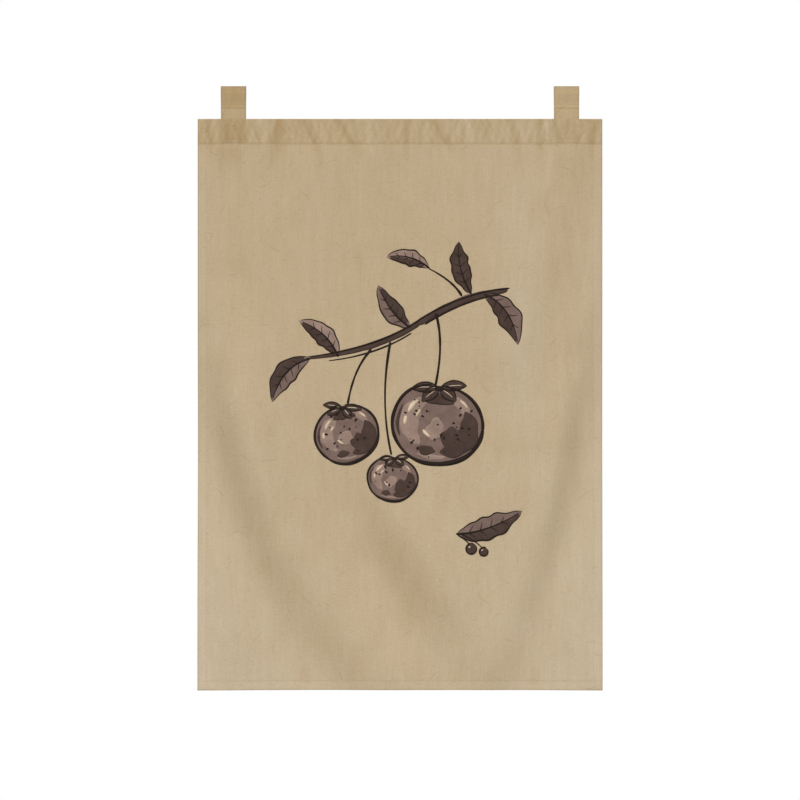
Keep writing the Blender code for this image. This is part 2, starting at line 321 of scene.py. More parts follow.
class NorenClothSettings(bpy.types.PropertyGroup):
    width: distance("Width", "Finished width of the cloth", CLOTH_WIDTH)
    drop: distance("Drop", "Height from the top edge to the foot", CLOTH_DROP)
    heading: distance("Heading", "Height of the doubled top band", HEADING_DROP)
    hem: distance("Hem", "Width of the side hems and of the foot hem", 0.020)
    side_allowance: distance("Allowance", "Cloth turned in under a side hem", 0.009)
    thickness: distance("Thickness", "Thickness of one layer of cloth", 0.00040)
    layer_pitch: distance("Layer pitch", "Distance between two turned layers", 0.00050)
    thread_pitch: distance("Thread pitch", "Distance between two threads of the weave", 0.00095)
    thread: colour("Thread", "Main colour of the unbleached threads", (0.592, 0.463, 0.295))
    dark_thread: colour("Dark thread", "Colour of the darker threads", (0.467, 0.351, 0.207))
    pale_thread: colour("Pale thread", "Colour of the paler, thicker ones", (0.679, 0.552, 0.377))


class NorenTabSettings(bpy.types.PropertyGroup):
    width: distance("Width", "Width of a tab", TAB_WIDTH)
    inset: distance("Inset", "Distance of a tab from the side of the cloth", TAB_INSET)
    thickness: distance("Thickness", "Thickness of the doubled strip", 0.00110)
    left_tone: brightness("Left tone", "Brightness of the left tab beside the cloth", 0.826)
    left_leg_tone: brightness("Left leg tone", "The same for its legs, under its seam", 0.902)
    right_tone: brightness("Right tone", "Brightness of the right tab beside the cloth", 0.922)
    right_leg_tone: brightness("Right leg tone", "The same for its legs, under its seam", 0.926)


class NorenSewingSettings(bpy.types.PropertyGroup):
    stitch: distance("Stitch", "Length of one stitch", 0.0026)
    gap: distance("Gap", "Distance between two stitches", 0.0007)
    thread_thick: distance("Thread", "Thickness of the sewing thread", 0.00040)
    thread: colour("Thread colour", "Colour of the sewing thread", (0.470, 0.360, 0.215))


class NorenPrintSettings(bpy.types.PropertyGroup):
    ink: colour("Ink", "Outlines, twigs and dots", (0.0110, 0.0060, 0.0055))
    umber: colour("Umber", "Darkest washes", (0.0600, 0.0350, 0.0300))
    mauve: colour("Mauve", "Middle washes", (0.1850, 0.1230, 0.1030))
    taupe: colour("Taupe", "Pale washes", (0.3050, 0.2080, 0.1700))
    pale: colour("Pale", "Lights left in the washes", (0.6400, 0.5100, 0.3600))


class NorenStageSettings(bpy.types.PropertyGroup):
    key: amount("Key", "Power of the soft light from above the front, in watts", 1945.0)
    key_away: distance("Key distance", "Distance of the key light from the cloth's middle", 14.0)
    key_size: distance("Key size", "Side of the square that the key light shines from", 3.6)
    key_height: angle("Key height", "Height of the key light as an angle", 45)
    key_side: angle("Key side", "Angle of the key light to the right", -6)
    fill: amount("Fill", "Strength of the even light from all around", 0.08)
    back: amount("Back", "Strength of the soft light from behind", 2.3)
    floor_drop: distance("Floor", "Depth of the floor under the crest of the loops", 1.95)
    floor_radius: distance("Floor radius", "Radius of the round floor", 2.4)


def smooth_step(way):
    """0 below 0, 1 above 1 and an even S between: 3 s squared less 2 s cubed."""
    s = np.clip(way, 0.0, 1.0)
    return s * s * (3.0 - 2.0 * s)


def bell(value, half_width):
    """1 at 0 and falling as the exponential of minus the square of value over half width."""
    return np.exp(-(value / half_width) ** 2)


def within(x, span, edge):
    """1 between the ends of a span and 0 outside it, easing over the width of an edge."""
    return smooth_step((x - span[0]) / edge + 0.5) * smooth_step((span[1] - x) / edge + 0.5)


def unit(ways):
    """Rows of vectors, each made 1 long."""
    return ways / np.linalg.norm(ways, axis=1)[:, None]


def quadratic(start, bend, end, count):
    """Places on a bent line: (1 - t)^2 start + 2 t (1 - t) bend + t^2 end, t from 0 to 1."""
    t = np.linspace(0.0, 1.0, count)[:, None]
    start, bend, end = np.array(start), np.array(bend), np.array(end)
    return (1 - t) ** 2 * start + 2 * t * (1 - t) * bend + t ** 2 * end


def lengths_along(points):
    """Distance of every point of a line from its start, measured along the line."""
    return np.concatenate(([0.0], np.cumsum(np.hypot(*np.diff(points, axis=0).T))))


def lines_between(stops, pitches):
    """Even mesh lines with one at every stop, no further apart than the pitch of their stretch."""
    lines = [np.array(stops[:1])]
    for low, high, pitch in zip(stops, stops[1:], pitches):
        count = max(1, int(np.ceil(abs(high - low) / pitch - 1e-6)))
        lines.append(np.linspace(low, high, count + 1)[1:])
    return np.concatenate(lines)


def patch_sum(patches, x, down):
    """Sum of soft patches, each its strength times a bell across and a bell down."""
    return sum(patch.strength * bell(x - patch.x, patch.half_width)
               * bell(down - patch.down, patch.half_height) for patch in patches)


def fold_relief(fold, x, down):
    """Forward relief of one long fold: u = distance across the path in half widths, and the
    relief is -u exp((1 - u^2) / 2) times the depth, eased in and out along the path."""
    start, bend, end = (np.array(fold[at:at + 2]) for at in (1, 3, 5))
    path = quadratic(start, bend, end, PATH_SAMPLES)
    t = np.linspace(0.0, 1.0, PATH_SAMPLES)
    way = unit((1 - t)[:, None] * (bend - start) + t[:, None] * (end - bend))
    points = np.stack((x.ravel(), down.ravel()), axis=1)
    near = np.zeros(len(points), dtype=int)
    closest = np.full(len(points), np.inf)
    for place_number, place in enumerate(path):
        apart = ((points - place) ** 2).sum(axis=1)
        near = np.where(apart < closest, place_number, near)
        closest = np.minimum(apart, closest)
    offset, way, along = points - path[near], way[near], t[near]
    outer_side = np.sign(fold.x_end - fold.x_start)
    across = (way[:, 0] * offset[:, 1] - way[:, 1] * offset[:, 0]) * outer_side
    beyond = (way * offset).sum(axis=1)
    u = across / (fold.half_start + (fold.half_end - fold.half_start) * along)
    ease_out = smooth_step((1 - along) / fold.ease_out)
    eased = smooth_step(along / fold.ease_in) * (FOLD_END_SHARE + (1 - FOLD_END_SHARE) * ease_out)
    relief = -u * np.exp((1 - u ** 2) / 2) * fold.depth * eased * bell(beyond, FOLD_RUN_OUT)
    return relief.reshape(x.shape)


def long_folds(x, down):
    """The long folds, added together."""
    return sum(fold_relief(fold, x, down) for fold in FOLDS)


def fold_lean(x, down):
    """How far the long folds lean over, so that they face down: the loss of their relief for
    each metre of drop, from its values a step above and a step below."""
    return (long_folds(x, down - LEAN_STEP) - long_folds(x, down + LEAN_STEP)) / (2 * LEAN_STEP)


def pucker_relief(x, down):
    """Bells across the slanting middle lines of the puckers, fading out below the heading."""
    fade = bell(np.clip(down - HEADING_DROP, 0.0, None), PUCKER_REACH)
    along = np.clip(down / HEADING_DROP, 0.0, PUCKER_END_SHARE)
    middles = (pucker.x_top + (pucker.x_foot - pucker.x_top) * along for pucker in PUCKERS)
    return sum(pucker.forward * fade * bell(x - middle, pucker.half_width)
               for pucker, middle in zip(PUCKERS, middles))


def crease_relief(crease, x, down):
    """A bell across the straight line from start to end, eased in and out along it."""
    run = np.array((crease.x_end - crease.x_start, crease.down_end - crease.down_start))
    long = np.linalg.norm(run)
    run /= long
    along = ((x - crease.x_start) * run[0] + (down - crease.down_start) * run[1]) / long
    across = (x - crease.x_start) * run[1] - (down - crease.down_start) * run[0]
    eased = smooth_step(along / CREASE_FADE) * smooth_step((1 - along) / CREASE_FADE)
    return crease.forward * eased * bell(across, crease.half_width)


def small_creases(x, down):
    """All the small creases of the cloth and its heading, added together."""
    return sum(crease_relief(crease, x, down) for crease in CREASES + HEADING_CREASES)


def wave_sum(waves, x, down):
    """Sum of seeded sine waves, each as high as its length to the table's power."""
    draw = np.random.default_rng(waves.seed)
    lengths = draw.uniform(waves.shortest, waves.longest, waves.count)
    turns = draw.uniform(waves.turn_from, waves.turn_to, waves.count)
    starts = draw.uniform(0.0, 2 * np.pi, waves.count)
    total = np.zeros(x.shape)
    for length, turn, start in zip(lengths, turns, starts):
        phase = 2 * np.pi * (x * np.cos(turn) + down * np.sin(turn)) / length + start
        total += length ** waves.power * np.sin(phase)
    return total


def tab_spans(sizes, tabs):
    """Left and right edge of each tab."""
    left = -sizes.width / 2 + tabs.inset
    return (left, left + tabs.width), (-left - tabs.width, -left)


def seam_downs(sizes):
    """How far down the heading's row of stitches and the foot hem's lie."""
    return sizes.heading - HEADING_SEAM_UP, sizes.drop - sizes.hem + HEM_SEAM_IN


def side_seam_x(sizes):
    """Place of the right side hem's row of stitches."""
    return sizes.width / 2 - sizes.hem + HEM_SEAM_IN


def gather_relief(x, down, seam):
    """Small gathers beside a seam: a sine of x whose phase wanders with slower sines."""
    phase = 2 * np.pi * x / GATHER_WAVE
    for height, length in GATHER_WANDER:
        phase = phase + height * np.sin(x / length)
    return GATHER_DEPTH * np.sin(phase) * bell(down - seam, GATHER_REACH)


def sewing_relief(sizes, tabs, x, down):
    """Troughs pulled in along the rows of stitches, the small gathers beside the seams across
    the cloth and the step over the legs of the tabs."""
    heading_seam, foot_seam = seam_downs(sizes)
    below = smooth_step((down - heading_seam) / SEAM_MARGIN)
    above = smooth_step((heading_seam - down) / SEAM_MARGIN)
    relief = gather_relief(x, down, heading_seam)
    relief = relief + FOOT_GATHER_SHARE * gather_relief(x, down, foot_seam)
    hems = bell(down - foot_seam, SEAM_HALF_WIDTH)
    hems = hems + below * bell(np.abs(x) - side_seam_x(sizes), SEAM_HALF_WIDTH)
    heading = bell(down - heading_seam, SEAM_HALF_WIDTH)
    relief = relief - SEAM_PINCH * (heading + HEM_PINCH_SHARE * hems)
    for span in tab_spans(sizes, tabs):
        relief = relief + TAB_STEP * within(x, span, TAB_STEP_EDGE) * above
    return relief


def cloth_relief(sizes, tabs, x, down):
    """All the forward relief of the cloth at places x and down. The long folds, the swells and
    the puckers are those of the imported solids."""
    x, down = np.broadcast_arrays(x, down)
    main = long_folds(x, down) + patch_sum(SWELLS, x, down) + pucker_relief(x, down)
    crumple = CRUMPLE_SLOPE / (2 * np.pi) * wave_sum(CRUMPLE, x, down)
    return main + crumple + sewing_relief(sizes, tabs, x, down) + small_creases(x, down)


def at_edge(sizes, x, down):
    """1 on the four edges of the cloth, falling off inside them."""
    to_edge = np.minimum(np.minimum(sizes.width / 2 - np.abs(x), sizes.drop - down), down)
    return bell(np.clip(to_edge, 0.0, None), EDGE_TONE_REACH)


def cloth_tone(sizes, tabs, x, down):
    """Share of the cloth's colour at each place, as the product of 1 + every part. The doubled
    heading and the tabs behind it are darker, its seam and the very edges darker with painted
    shade; the hems are paler, and the foot paler with painted light. Creases get painted shade in
    their troughs and painted light on their ridges, folds that face down get painted shade, and
    soft patches paint light and shade, beside a real stain and knot."""
    heading_seam, foot_seam = seam_downs(sizes)
    above = smooth_step((heading_seam - down) / SEAM_MARGIN + 0.5)
    mottle = HEADING_MOTTLE_TONE * wave_sum(HEADING_MOTTLE, x, down)
    in_hem = np.maximum(smooth_step((np.abs(x) - side_seam_x(sizes)) / SEAM_MARGIN),
                        smooth_step((down - foot_seam) / SEAM_MARGIN)) * (1 - above)
    creases = pucker_relief(x, down) + small_creases(x, down) + gather_relief(x, down, heading_seam)
    crease_tone = CREASE_TONE + (HEADING_CREASE_TONE - CREASE_TONE) * above
    parts = [
        (HEADING_TONE - 1 + mottle) * above,
        (SEAM_TONE - 1) * bell(down - heading_seam - SEAM_TONE_OFFSET, SEAM_TONE_HALF_WIDTH),
        (HEM_TONE - 1) * in_hem,
        (EDGE_TONE - 1) * at_edge(sizes, x, down),
        (FOOT_TONE - 1) * smooth_step(down / sizes.drop),
        crease_tone * creases,
        -FOLD_TONE * np.clip(fold_lean(x, down), 0.0, None),
        patch_sum(TONE_PATCHES, x, down),
    ]
    for span, show in zip(tab_spans(sizes, tabs), TAB_SHOW_THROUGH):
        parts.append((show - 1) * within(x, span, SHOW_THROUGH_EDGE) * above)
    return np.prod([1 + part for part in parts], axis=0)


def grid_faces(rows, columns, first=0):
    """Four-sided faces of a grid of vertices numbered row by row, facing the viewer where rows
    run down and columns run to the right."""
    row, column = np.meshgrid(np.arange(rows - 1), np.arange(columns - 1), indexing="ij")
    a = (first + row * columns + column).ravel()
    return np.stack((a, a + columns, a + columns + 1, a + 1), axis=1)


def add_object(name, data, location=(0.0, 0.0, 0.0), turn=(0.0, 0.0, 0.0)):
    """Put an object into the scene at a place, turned about X, Y and Z."""
    thing = bpy.data.objects.new(name, data)
    thing.location = location
    thing.rotation_euler = turn
    bpy.context.collection.objects.link(thing)
    return thing


def add_mesh(name, places, faces, material):
    """Put one mesh into the scene, shaded smooth. Faces come as arrays with a row for each."""
    mesh = bpy.data.meshes.new(name)
    corners = [row for part in faces for row in part.tolist()]
    mesh.from_pydata(places.reshape(-1, 3).tolist(), [], corners)
    mesh.validate()
    mesh.shade_smooth()
    mesh.materials.append(material)
    return add_object(name, mesh)


def add_piece(name, places, faces, material, uv, **marks):
    """Put a mesh of the curtain into the scene, riding on its only body. The UV map and the
    marks, such as tone, hold one value for each vertex."""
    piece = add_mesh(name, places, faces, material)
    mesh = piece.data
    corners = np.empty(len(mesh.loops), dtype=np.int32)
    mesh.loops.foreach_get("vertex_index", corners)
    layer = mesh.uv_layers.new(name="cut")
    layer.data.foreach_set("uv", uv.reshape(-1, 2)[corners].ravel().astype(np.float32))
    for mark, values in marks.items():
        attribute = mesh.attributes.new(mark, "FLOAT", "POINT")
        attribute.data.foreach_set("value", values.ravel().astype(np.float32))
    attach(piece, "root")
    return piece


def thicken(piece, thickness):
    """Give a sheet its thickness, half to each side, with its rim closed."""
    solidify = piece.modifiers.new("thickness", "SOLIDIFY")
    solidify.thickness = thickness
    solidify.offset = 0.0
    solidify.use_even_offset = True


# Lines of a turned edge: distance from the edge = flat + stack * away_stack + core * away_core
# + under * away_under, and depth = stack * deep_stack + core * deep_core + under * deep_under
TurnedEdge = namedtuple("TurnedEdge", "flat away_stack away_core away_under "
                                      "deep_stack deep_core deep_under")


def turned_edge(front, back, core):
    """Mesh lines round an edge that is turned twice, from the flat cloth to its raw edge. Stack
    is the depth of the rearmost layer, core that of the turned-in allowance and under the depth
    that a line has already. Round the first turn, by the angle q, the distance is half the stack
    less (half the stack less under) times sin q, and the depth the same with cos q; the second
    turn runs from stack less under to core plus under in the same way."""
    q = np.linspace(0.0, np.pi, TURN_SPACES + 1)
    sin, cos, nothing = np.sin(q), np.cos(q), np.zeros(len(q))
    fold = back[-1] + CLEAR_OF_TURN

    def flat_lines(lines, *depths):
        ones = np.ones(len(lines))
        return (lines, ones * 0, ones * 0, ones * 0, *(ones * depth for depth in depths))

    first_turn = (nothing, (1 - sin) / 2, nothing, sin, (1 - cos) / 2, nothing, cos)
    second_turn = (nothing + fold, (sin - 1) / 2, (1 - sin) / 2, -sin,
                   (1 + cos) / 2, (1 - cos) / 2, -cos)
    stretches = (flat_lines(front, 0, 0, 1), first_turn, flat_lines(back, 1, 0, -1),
                 second_turn, flat_lines(core, 0, 1, 1))
    return TurnedEdge(*(np.concatenate(part) for part in zip(*stretches)))


def edge_places(edge, stack, core, under):
    """Distance from the edge and depth of every line of a turned edge."""
    away = edge.flat + stack * edge.away_stack + core * edge.away_core + under * edge.away_under
    depth = stack * edge.deep_stack + core * edge.deep_core + under * edge.deep_under
    return away, depth


def cut_lengths(across, depth, anchor):
    """Distance along a bent line of cloth, with across's own value at the anchor's number."""
    along = lengths_along(np.stack((across, depth), 1))
    return along - along[anchor] + across[anchor]


def in_corner(sizes, x):
    """1 where a side hem runs into the heading or the foot hem, easing to 0 inside it."""
    return smooth_step((np.abs(x) - sizes.width / 2 + sizes.hem + CORNER_BLEND) / CORNER_BLEND)


def stack_depth(sizes, x, flat_stack):
    """Depth of the rearmost layer along a turned edge, which is deeper in the corners."""
    corner_stack = CORNER_STACK_LAYERS * sizes.layer_pitch
    return flat_stack + (corner_stack - flat_stack) * in_corner(sizes, x)


def hem_lines(sizes, allowance):
    """Mesh lines of a hem, flat and turned in, and the turned edge that they make."""
    flat = lines_between((sizes.hem - CLEAR_OF_TURN, CLEAR_OF_TURN), (COLUMN_PITCH,))
    core = lines_between((sizes.hem - CLEAR_OF_TURN, sizes.hem - allowance), (COLUMN_PITCH,))
    return turned_edge(flat, flat[::-1], core)


def cloth_columns(sizes, tabs):
    """Place, depth and cut distance of every column, from the left raw edge to the right one,
    and the number of the middle one."""
    half, pitch = sizes.width / 2, sizes.layer_pitch
    away, depth = edge_places(hem_lines(sizes, sizes.side_allowance), 2 * pitch, pitch, 0.0)
    span_left, span_right = tab_spans(sizes, tabs)[1]
    stops = (0.0, span_left - TAB_STEP_EDGE, span_left + TAB_STEP_EDGE,
             span_right - TAB_STEP_EDGE, span_right + TAB_STEP_EDGE,
             side_seam_x(sizes) - SEAM_MARGIN, half - sizes.hem + CLEAR_OF_TURN)
    pitches = (COLUMN_PITCH, TAB_STEP_EDGE / 2, COLUMN_PITCH, TAB_STEP_EDGE / 2, COLUMN_PITCH,
               SEAM_PITCH)
    middle = lines_between(stops, pitches)[:-1]
    x = np.concatenate((middle, half - away))
    deep = np.concatenate((middle * 0, depth))
    x = np.concatenate((-x[:0:-1], x))
    deep = np.concatenate((deep[:0:-1], deep))
    centre = len(x) // 2
    return x, deep, cut_lengths(x, deep, centre), centre


def cloth_rows(sizes):
    """Turned top edge, flat rows and turned foot, from the raw edge in the heading to the raw
    edge in the foot hem."""
    heading_seam, foot_seam = seam_downs(sizes)
    front = lines_between((heading_seam - SEAM_MARGIN, CLEAR_OF_TURN), (HEADING_PITCH,))
    turned_back = sizes.heading - CLEAR_OF_TURN
    back = lines_between((CLEAR_OF_TURN, turned_back), (BACK_PITCH,))
    core = lines_between((turned_back, sizes.heading - HEADING_ALLOWANCE), (BACK_PITCH,))
    stops = (heading_seam - SEAM_MARGIN, heading_seam + SEAM_MARGIN, foot_seam - SEAM_MARGIN,
             sizes.drop - sizes.hem + CLEAR_OF_TURN)
    middle = lines_between(stops, (SEAM_PITCH, PANEL_PITCH, SEAM_PITCH))[1:-1]
    return turned_edge(front, back, core), middle, hem_lines(sizes, FOOT_ALLOWANCE)


def cloth_grid(sizes, tabs):
    """Places and UV map of the whole cloth, as grids. On the flat front the UV map is x and minus
    down; round the turns it goes on as the cloth was cut."""
    x, side_depth, cut_x, centre = cloth_columns(sizes, tabs)
    top, middle, foot = cloth_rows(sizes)
    pitch = sizes.layer_pitch
    core = pitch * (1 + (CORNER_CORE_LAYERS - 1) * in_corner(sizes, x))
    top = TurnedEdge(*(part[::-1, None] for part in top))
    foot = TurnedEdge(*(part[:, None] for part in foot))
    top_away, top_depth = edge_places(top, stack_depth(sizes, x, HEADING_STACK), core, side_depth)
    foot_away, foot_depth = edge_places(foot, stack_depth(sizes, x, 2 * pitch), core, side_depth)
    flat_down = np.broadcast_to(middle[:, None], (len(middle), len(x)))
    flat_depth = np.broadcast_to(side_depth, flat_down.shape)
    down = np.concatenate((top_away, flat_down, sizes.drop - foot_away))
    depth = np.concatenate((top_depth, flat_depth, foot_depth))
    across = np.broadcast_to(x, down.shape)
    y = CLOTH_FRONT + sizes.thickness / 2 - cloth_relief(sizes, tabs, across, down) + depth
    places = np.stack((across, y, HEADING_TOP - down), axis=-1)
    cut_down = cut_lengths(down[:, centre], depth[:, centre], len(top_away))
    return places, np.stack(np.broadcast_arrays(cut_x, -cut_down[:, None]), axis=-1)


def cloth_marks(sizes, tabs, places):
    """Tone and painted cool tint of the whole cloth, from where each vertex lies across and down.
    Both hold painted light and shade.
    """
    across, down = places[..., 0], HEADING_TOP - places[..., 2]
    bleach = patch_sum(PAINTED_LIGHT_TINT_PATCHES, across, down) + EDGE_SHADE_TINT * at_edge(sizes, across, down)
    return {"tone": cloth_tone(sizes, tabs, across, down), "bleach": np.clip(bleach, 0.0, 1.0)}


class FrontFace:
    """The front face of the cloth as it was meshed, for what lies on it."""

    def __init__(self, sizes, tabs):
        places = cloth_grid(sizes, tabs)[0]
        x, down = places[:, :, 0], HEADING_TOP - places[:, :, 2]
        middle_row, middle_column = len(places) // 2, places.shape[1] // 2
        columns = slice(np.argmin(x[middle_row]), np.argmax(x[middle_row]) + 1)
        rows = slice(np.argmin(down[:, middle_column]), np.argmax(down[:, middle_column]) + 1)
        self.x = x[middle_row, columns]
        self.down = down[rows, middle_column]
        self.y = places[rows, columns, 1] - sizes.thickness / 2

    def at(self, x, down):
        """Depth coordinate of the face between its mesh lines, blended from the four corners."""
        column = np.clip(np.searchsorted(self.x, x) - 1, 0, len(self.x) - 2)
        row = np.clip(np.searchsorted(self.down, down) - 1, 0, len(self.down) - 2)
        u = np.clip((x - self.x[column]) / (self.x[column + 1] - self.x[column]), 0.0, 1.0)
        v = np.clip((down - self.down[row]) / (self.down[row + 1] - self.down[row]), 0.0, 1.0)
        upper = self.y[row, column] * (1 - u) + self.y[row, column + 1] * u
        lower = self.y[row + 1, column] * (1 - u) + self.y[row + 1, column + 1] * u
        return upper * (1 - v) + lower * v


# Tabs: mesh lines along the loop and round the flattened strip
LEG_PITCH = 0.0030
NECK_POINTS = 12
ROD_ARC_POINTS = 19
STRIP_PITCH = 0.0040
STRIP_ROUND_POINTS = 5

# How far the seam of a tab presses each face of its strip
TAB_PINCH = 0.00028
TAB_PINCH_HALF_WIDTH = 0.0020

# Painted light and shade on a tab: painted light on its neck, from this share of the rod's room
# below it, and painted shade round the crest, within this share of it
TAB_NECK_TONE = 0.31
TAB_NECK_FROM = 0.5
TAB_CREST_TONE = -0.22
TAB_CREST_REACH = 0.7
TAB_SEAM_EASE = 0.002

# Bands across a tab: painted shade in the row of stitches, above the ridge that it raises and in
# front of the rod, and painted light on the ridge, on the neck and just above the heading
Band = namedtuple("Band", "name z half_width share")
TAB_BANDS = (
    Band("seam", TAB_SEAM_Z, 0.0014, -0.11),
    Band("ridge", TAB_SEAM_Z + 0.0048, 0.0016, 0.030),
    Band("above_ridge", TAB_SEAM_Z + 0.0069, 0.0018, -0.025),
    Band("neck", TAB_SEAM_Z + 0.0103, 0.0030, 0.020),
    Band("front_of_rod", -0.0104, 0.0036, -0.050),
    Band("above_heading", -0.0668, 0.0034, 0.050),
)


def loop_path(sizes):
    """Middle line of a tab seen from its side: up the front leg, out of the seam in a bent curve,
    round the rod's room and down the back leg, as depth and height with the way along it."""
    turn = np.linspace(-LEAVES_ROD_AT, np.pi / 2, ROD_ARC_POINTS)
    arc = np.stack((-np.cos(turn), np.sin(turn)), 1) * LOOP_RADIUS - (0.0, ROD_ROOM_RADIUS)
    arc_way = np.array((np.sin(turn[0]), np.cos(turn[0])))
    seam = np.array((-LEG_CENTRE, TAB_SEAM_Z))
    rise = seam + (0.0, NECK_RISE)
    approach = arc[0] - arc_way * NECK_RUN
    t = np.linspace(0.0, 1.0, NECK_POINTS + 2)[1:-1, None]
    neck = ((1 - t) ** 3 * seam + 3 * t * (1 - t) ** 2 * rise
            + 3 * t ** 2 * (1 - t) * approach + t ** 3 * arc[0])
    stops = (HEADING_TOP - sizes.heading, HEADING_TOP, TAB_SEAM_Z)
    leg_z = lines_between(stops, (LEG_PITCH, LEG_PITCH))
    leg = np.stack((np.full(len(leg_z), -LEG_CENTRE), leg_z), 1)
    front = np.concatenate((leg, neck, arc))
    path = np.concatenate((front, front[-2::-1] * (-1.0, 1.0)))
    way = unit(np.gradient(path, axis=0))
    on_leg = path[:, 1] <= TAB_SEAM_Z
    way[on_leg] = 0.0
    way[on_leg, 1] = np.where(path[on_leg, 0] < 0, 1.0, -1.0)
    return path, way


def strip_outline(width, thickness):
    """Outline of a flattened strip: straight faces joined by half circles, as a closed row of
    places across it and out of it, starting at its left on the outer side."""
    round_off = thickness / 2
    inner = width / 2 - round_off
    flat = lines_between((-inner, inner), (STRIP_PITCH,))
    q = np.linspace(np.pi / 2, -np.pi / 2, STRIP_ROUND_POINTS + 2)[1:-1]
    right = np.stack((inner + round_off * np.cos(q), round_off * np.sin(q)), 1)
    outer = np.stack((flat, np.full(len(flat), round_off)), 1)
    return np.concatenate((outer, right, outer[::-1] * (1, -1), right[::-1] * (-1, 1)))


def strip_faces(rows, around):
    """Faces of a strip whose outline is carried along it: its sides and its two closed ends."""
    number = np.arange(rows * around).reshape(rows, around)
    wrapped = np.concatenate((number, number[:, :1]), axis=1)
    corners = (wrapped[1:, :-1], wrapped[:-1, :-1], wrapped[:-1, 1:], wrapped[1:, 1:])
    sides = np.stack([part.ravel() for part in corners], axis=1)
    pair = np.arange(around // 2 - 1)
    cap = np.stack((pair, around - 1 - pair, around - 2 - pair, pair + 1), 1)
    ends = np.roll(number, STRIP_ROUND_POINTS // 2 + 1, axis=1)
    return sides, ends[0][cap][:, ::-1], ends[-1][cap]


def tab_marks(tabs, heights, across, tone, leg_tone):
    """Tone with its painted bands and painted edge shade, the painted light on the neck and shade
    round the crest, and the cool tint of a tab, from the heights along its loop and the places
    across it.
    """
    above_seam = smooth_step((heights - TAB_SEAM_Z) / TAB_SEAM_EASE)
    bands = sum(band.share * bell(heights - band.z, band.half_width) for band in TAB_BANDS)
    shade = (leg_tone + (tone - leg_tone) * above_seam) * (1 + bands)
    neck = above_seam * smooth_step(-heights / ROD_ROOM_RADIUS - TAB_NECK_FROM)
    crest = bell(heights, ROD_ROOM_RADIUS * TAB_CREST_REACH)
    wear = TAB_NECK_TONE * neck + TAB_CREST_TONE * crest
    # Painted shade at the very edges of the strip, with the cool tint over it
    edge = bell(np.clip(tabs.width / 2 - np.abs(across), 0.0, None), EDGE_TONE_REACH)
    shade = shade[:, None] * (1 + (EDGE_TONE - 1) * edge)
    shade, wear, bleach = np.broadcast_arrays(shade, wear[:, None], EDGE_SHADE_TINT * edge)
    return {"tone": shade, "wear": wear, "bleach": bleach}


def make_tab(name, node, span, sizes, tabs, material, tone, leg_tone):
    """One strip folded over the rod's room: the strip's outline carried along the loop. Its legs
    follow the relief of the heading, which fades out above the top edge."""
    outline = strip_outline(tabs.width, tabs.thickness)
    path, way = loop_path(sizes)
    heights = path[:, 1]
    outward = np.stack((-way[:, 1], way[:, 0]), 1)
    pinch = 1 - 2 * TAB_PINCH / tabs.thickness * bell(heights - TAB_SEAM_Z, TAB_PINCH_HALF_WIDTH)
    shift = outward[:, None, :] * (outline[:, 1] * pinch[:, None])[..., None]
    x = np.broadcast_to(outline[:, 0] + np.mean(span), (len(path), len(outline)))
    down = np.broadcast_to(np.clip(HEADING_TOP - heights, 0.0, None)[:, None], x.shape)
    above = smooth_step((heights - HEADING_TOP) / (TAB_SEAM_Z - HEADING_TOP))[:, None]
    carried = cloth_relief(sizes, tabs, x, down) * (1 - above)
    y = path[:, None, 0] + shift[..., 0] - carried
    places = np.stack((x, y, heights[:, None] + shift[..., 1]), axis=-1)
    along = lengths_along(path)
    uv = np.stack(np.broadcast_arrays(lengths_along(outline), along[:, None]), axis=-1)
    marks = tab_marks(tabs, heights, outline[:, 0], tone, leg_tone)
    piece = add_piece(name, places, strip_faces(*x.shape), material, uv, **marks)
    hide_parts(node)


# One stitch: rings of a capsule, as its place along the thread, its girth and how far it sinks
STITCH_SIDES = 6
Ring = namedtuple("Ring", "along girth sink")
STITCH_RINGS = (Ring(-0.36, 0.80, 0.45), Ring(0.0, 1.0, 0.0), Ring(0.36, 0.80, 0.45))
STITCH_TIP_SINK = 1.1


def stitch_shape():
    """One stitch: three rings of six points and two tips, with its faces."""
    q = np.arange(STITCH_SIDES) * 2 * np.pi / STITCH_SIDES
    rings = [np.stack((np.full(STITCH_SIDES, ring.along), ring.girth * np.cos(q),
                       ring.girth * np.sin(q) - ring.sink), 1) for ring in STITCH_RINGS]
    tips = np.array(((-0.5, 0.0, -STITCH_TIP_SINK), (0.5, 0.0, -STITCH_TIP_SINK)))
    side = np.arange(STITCH_SIDES)
    after = (side + 1) % STITCH_SIDES
    bands = [np.stack((side + start, after + start, after + start + STITCH_SIDES,
                       side + start + STITCH_SIDES), 1) for start in (0, STITCH_SIDES)]
    count = STITCH_SIDES * len(STITCH_RINGS)
    last = count - STITCH_SIDES
    first_tip = np.stack((after, side, np.full(STITCH_SIDES, count)), 1)
    last_tip = np.stack((side + last, after + last, np.full(STITCH_SIDES, count + 1)), 1)
    fans = np.concatenate((first_tip, last_tip))
    return np.concatenate(rings + [tips]), np.concatenate(bands), fans


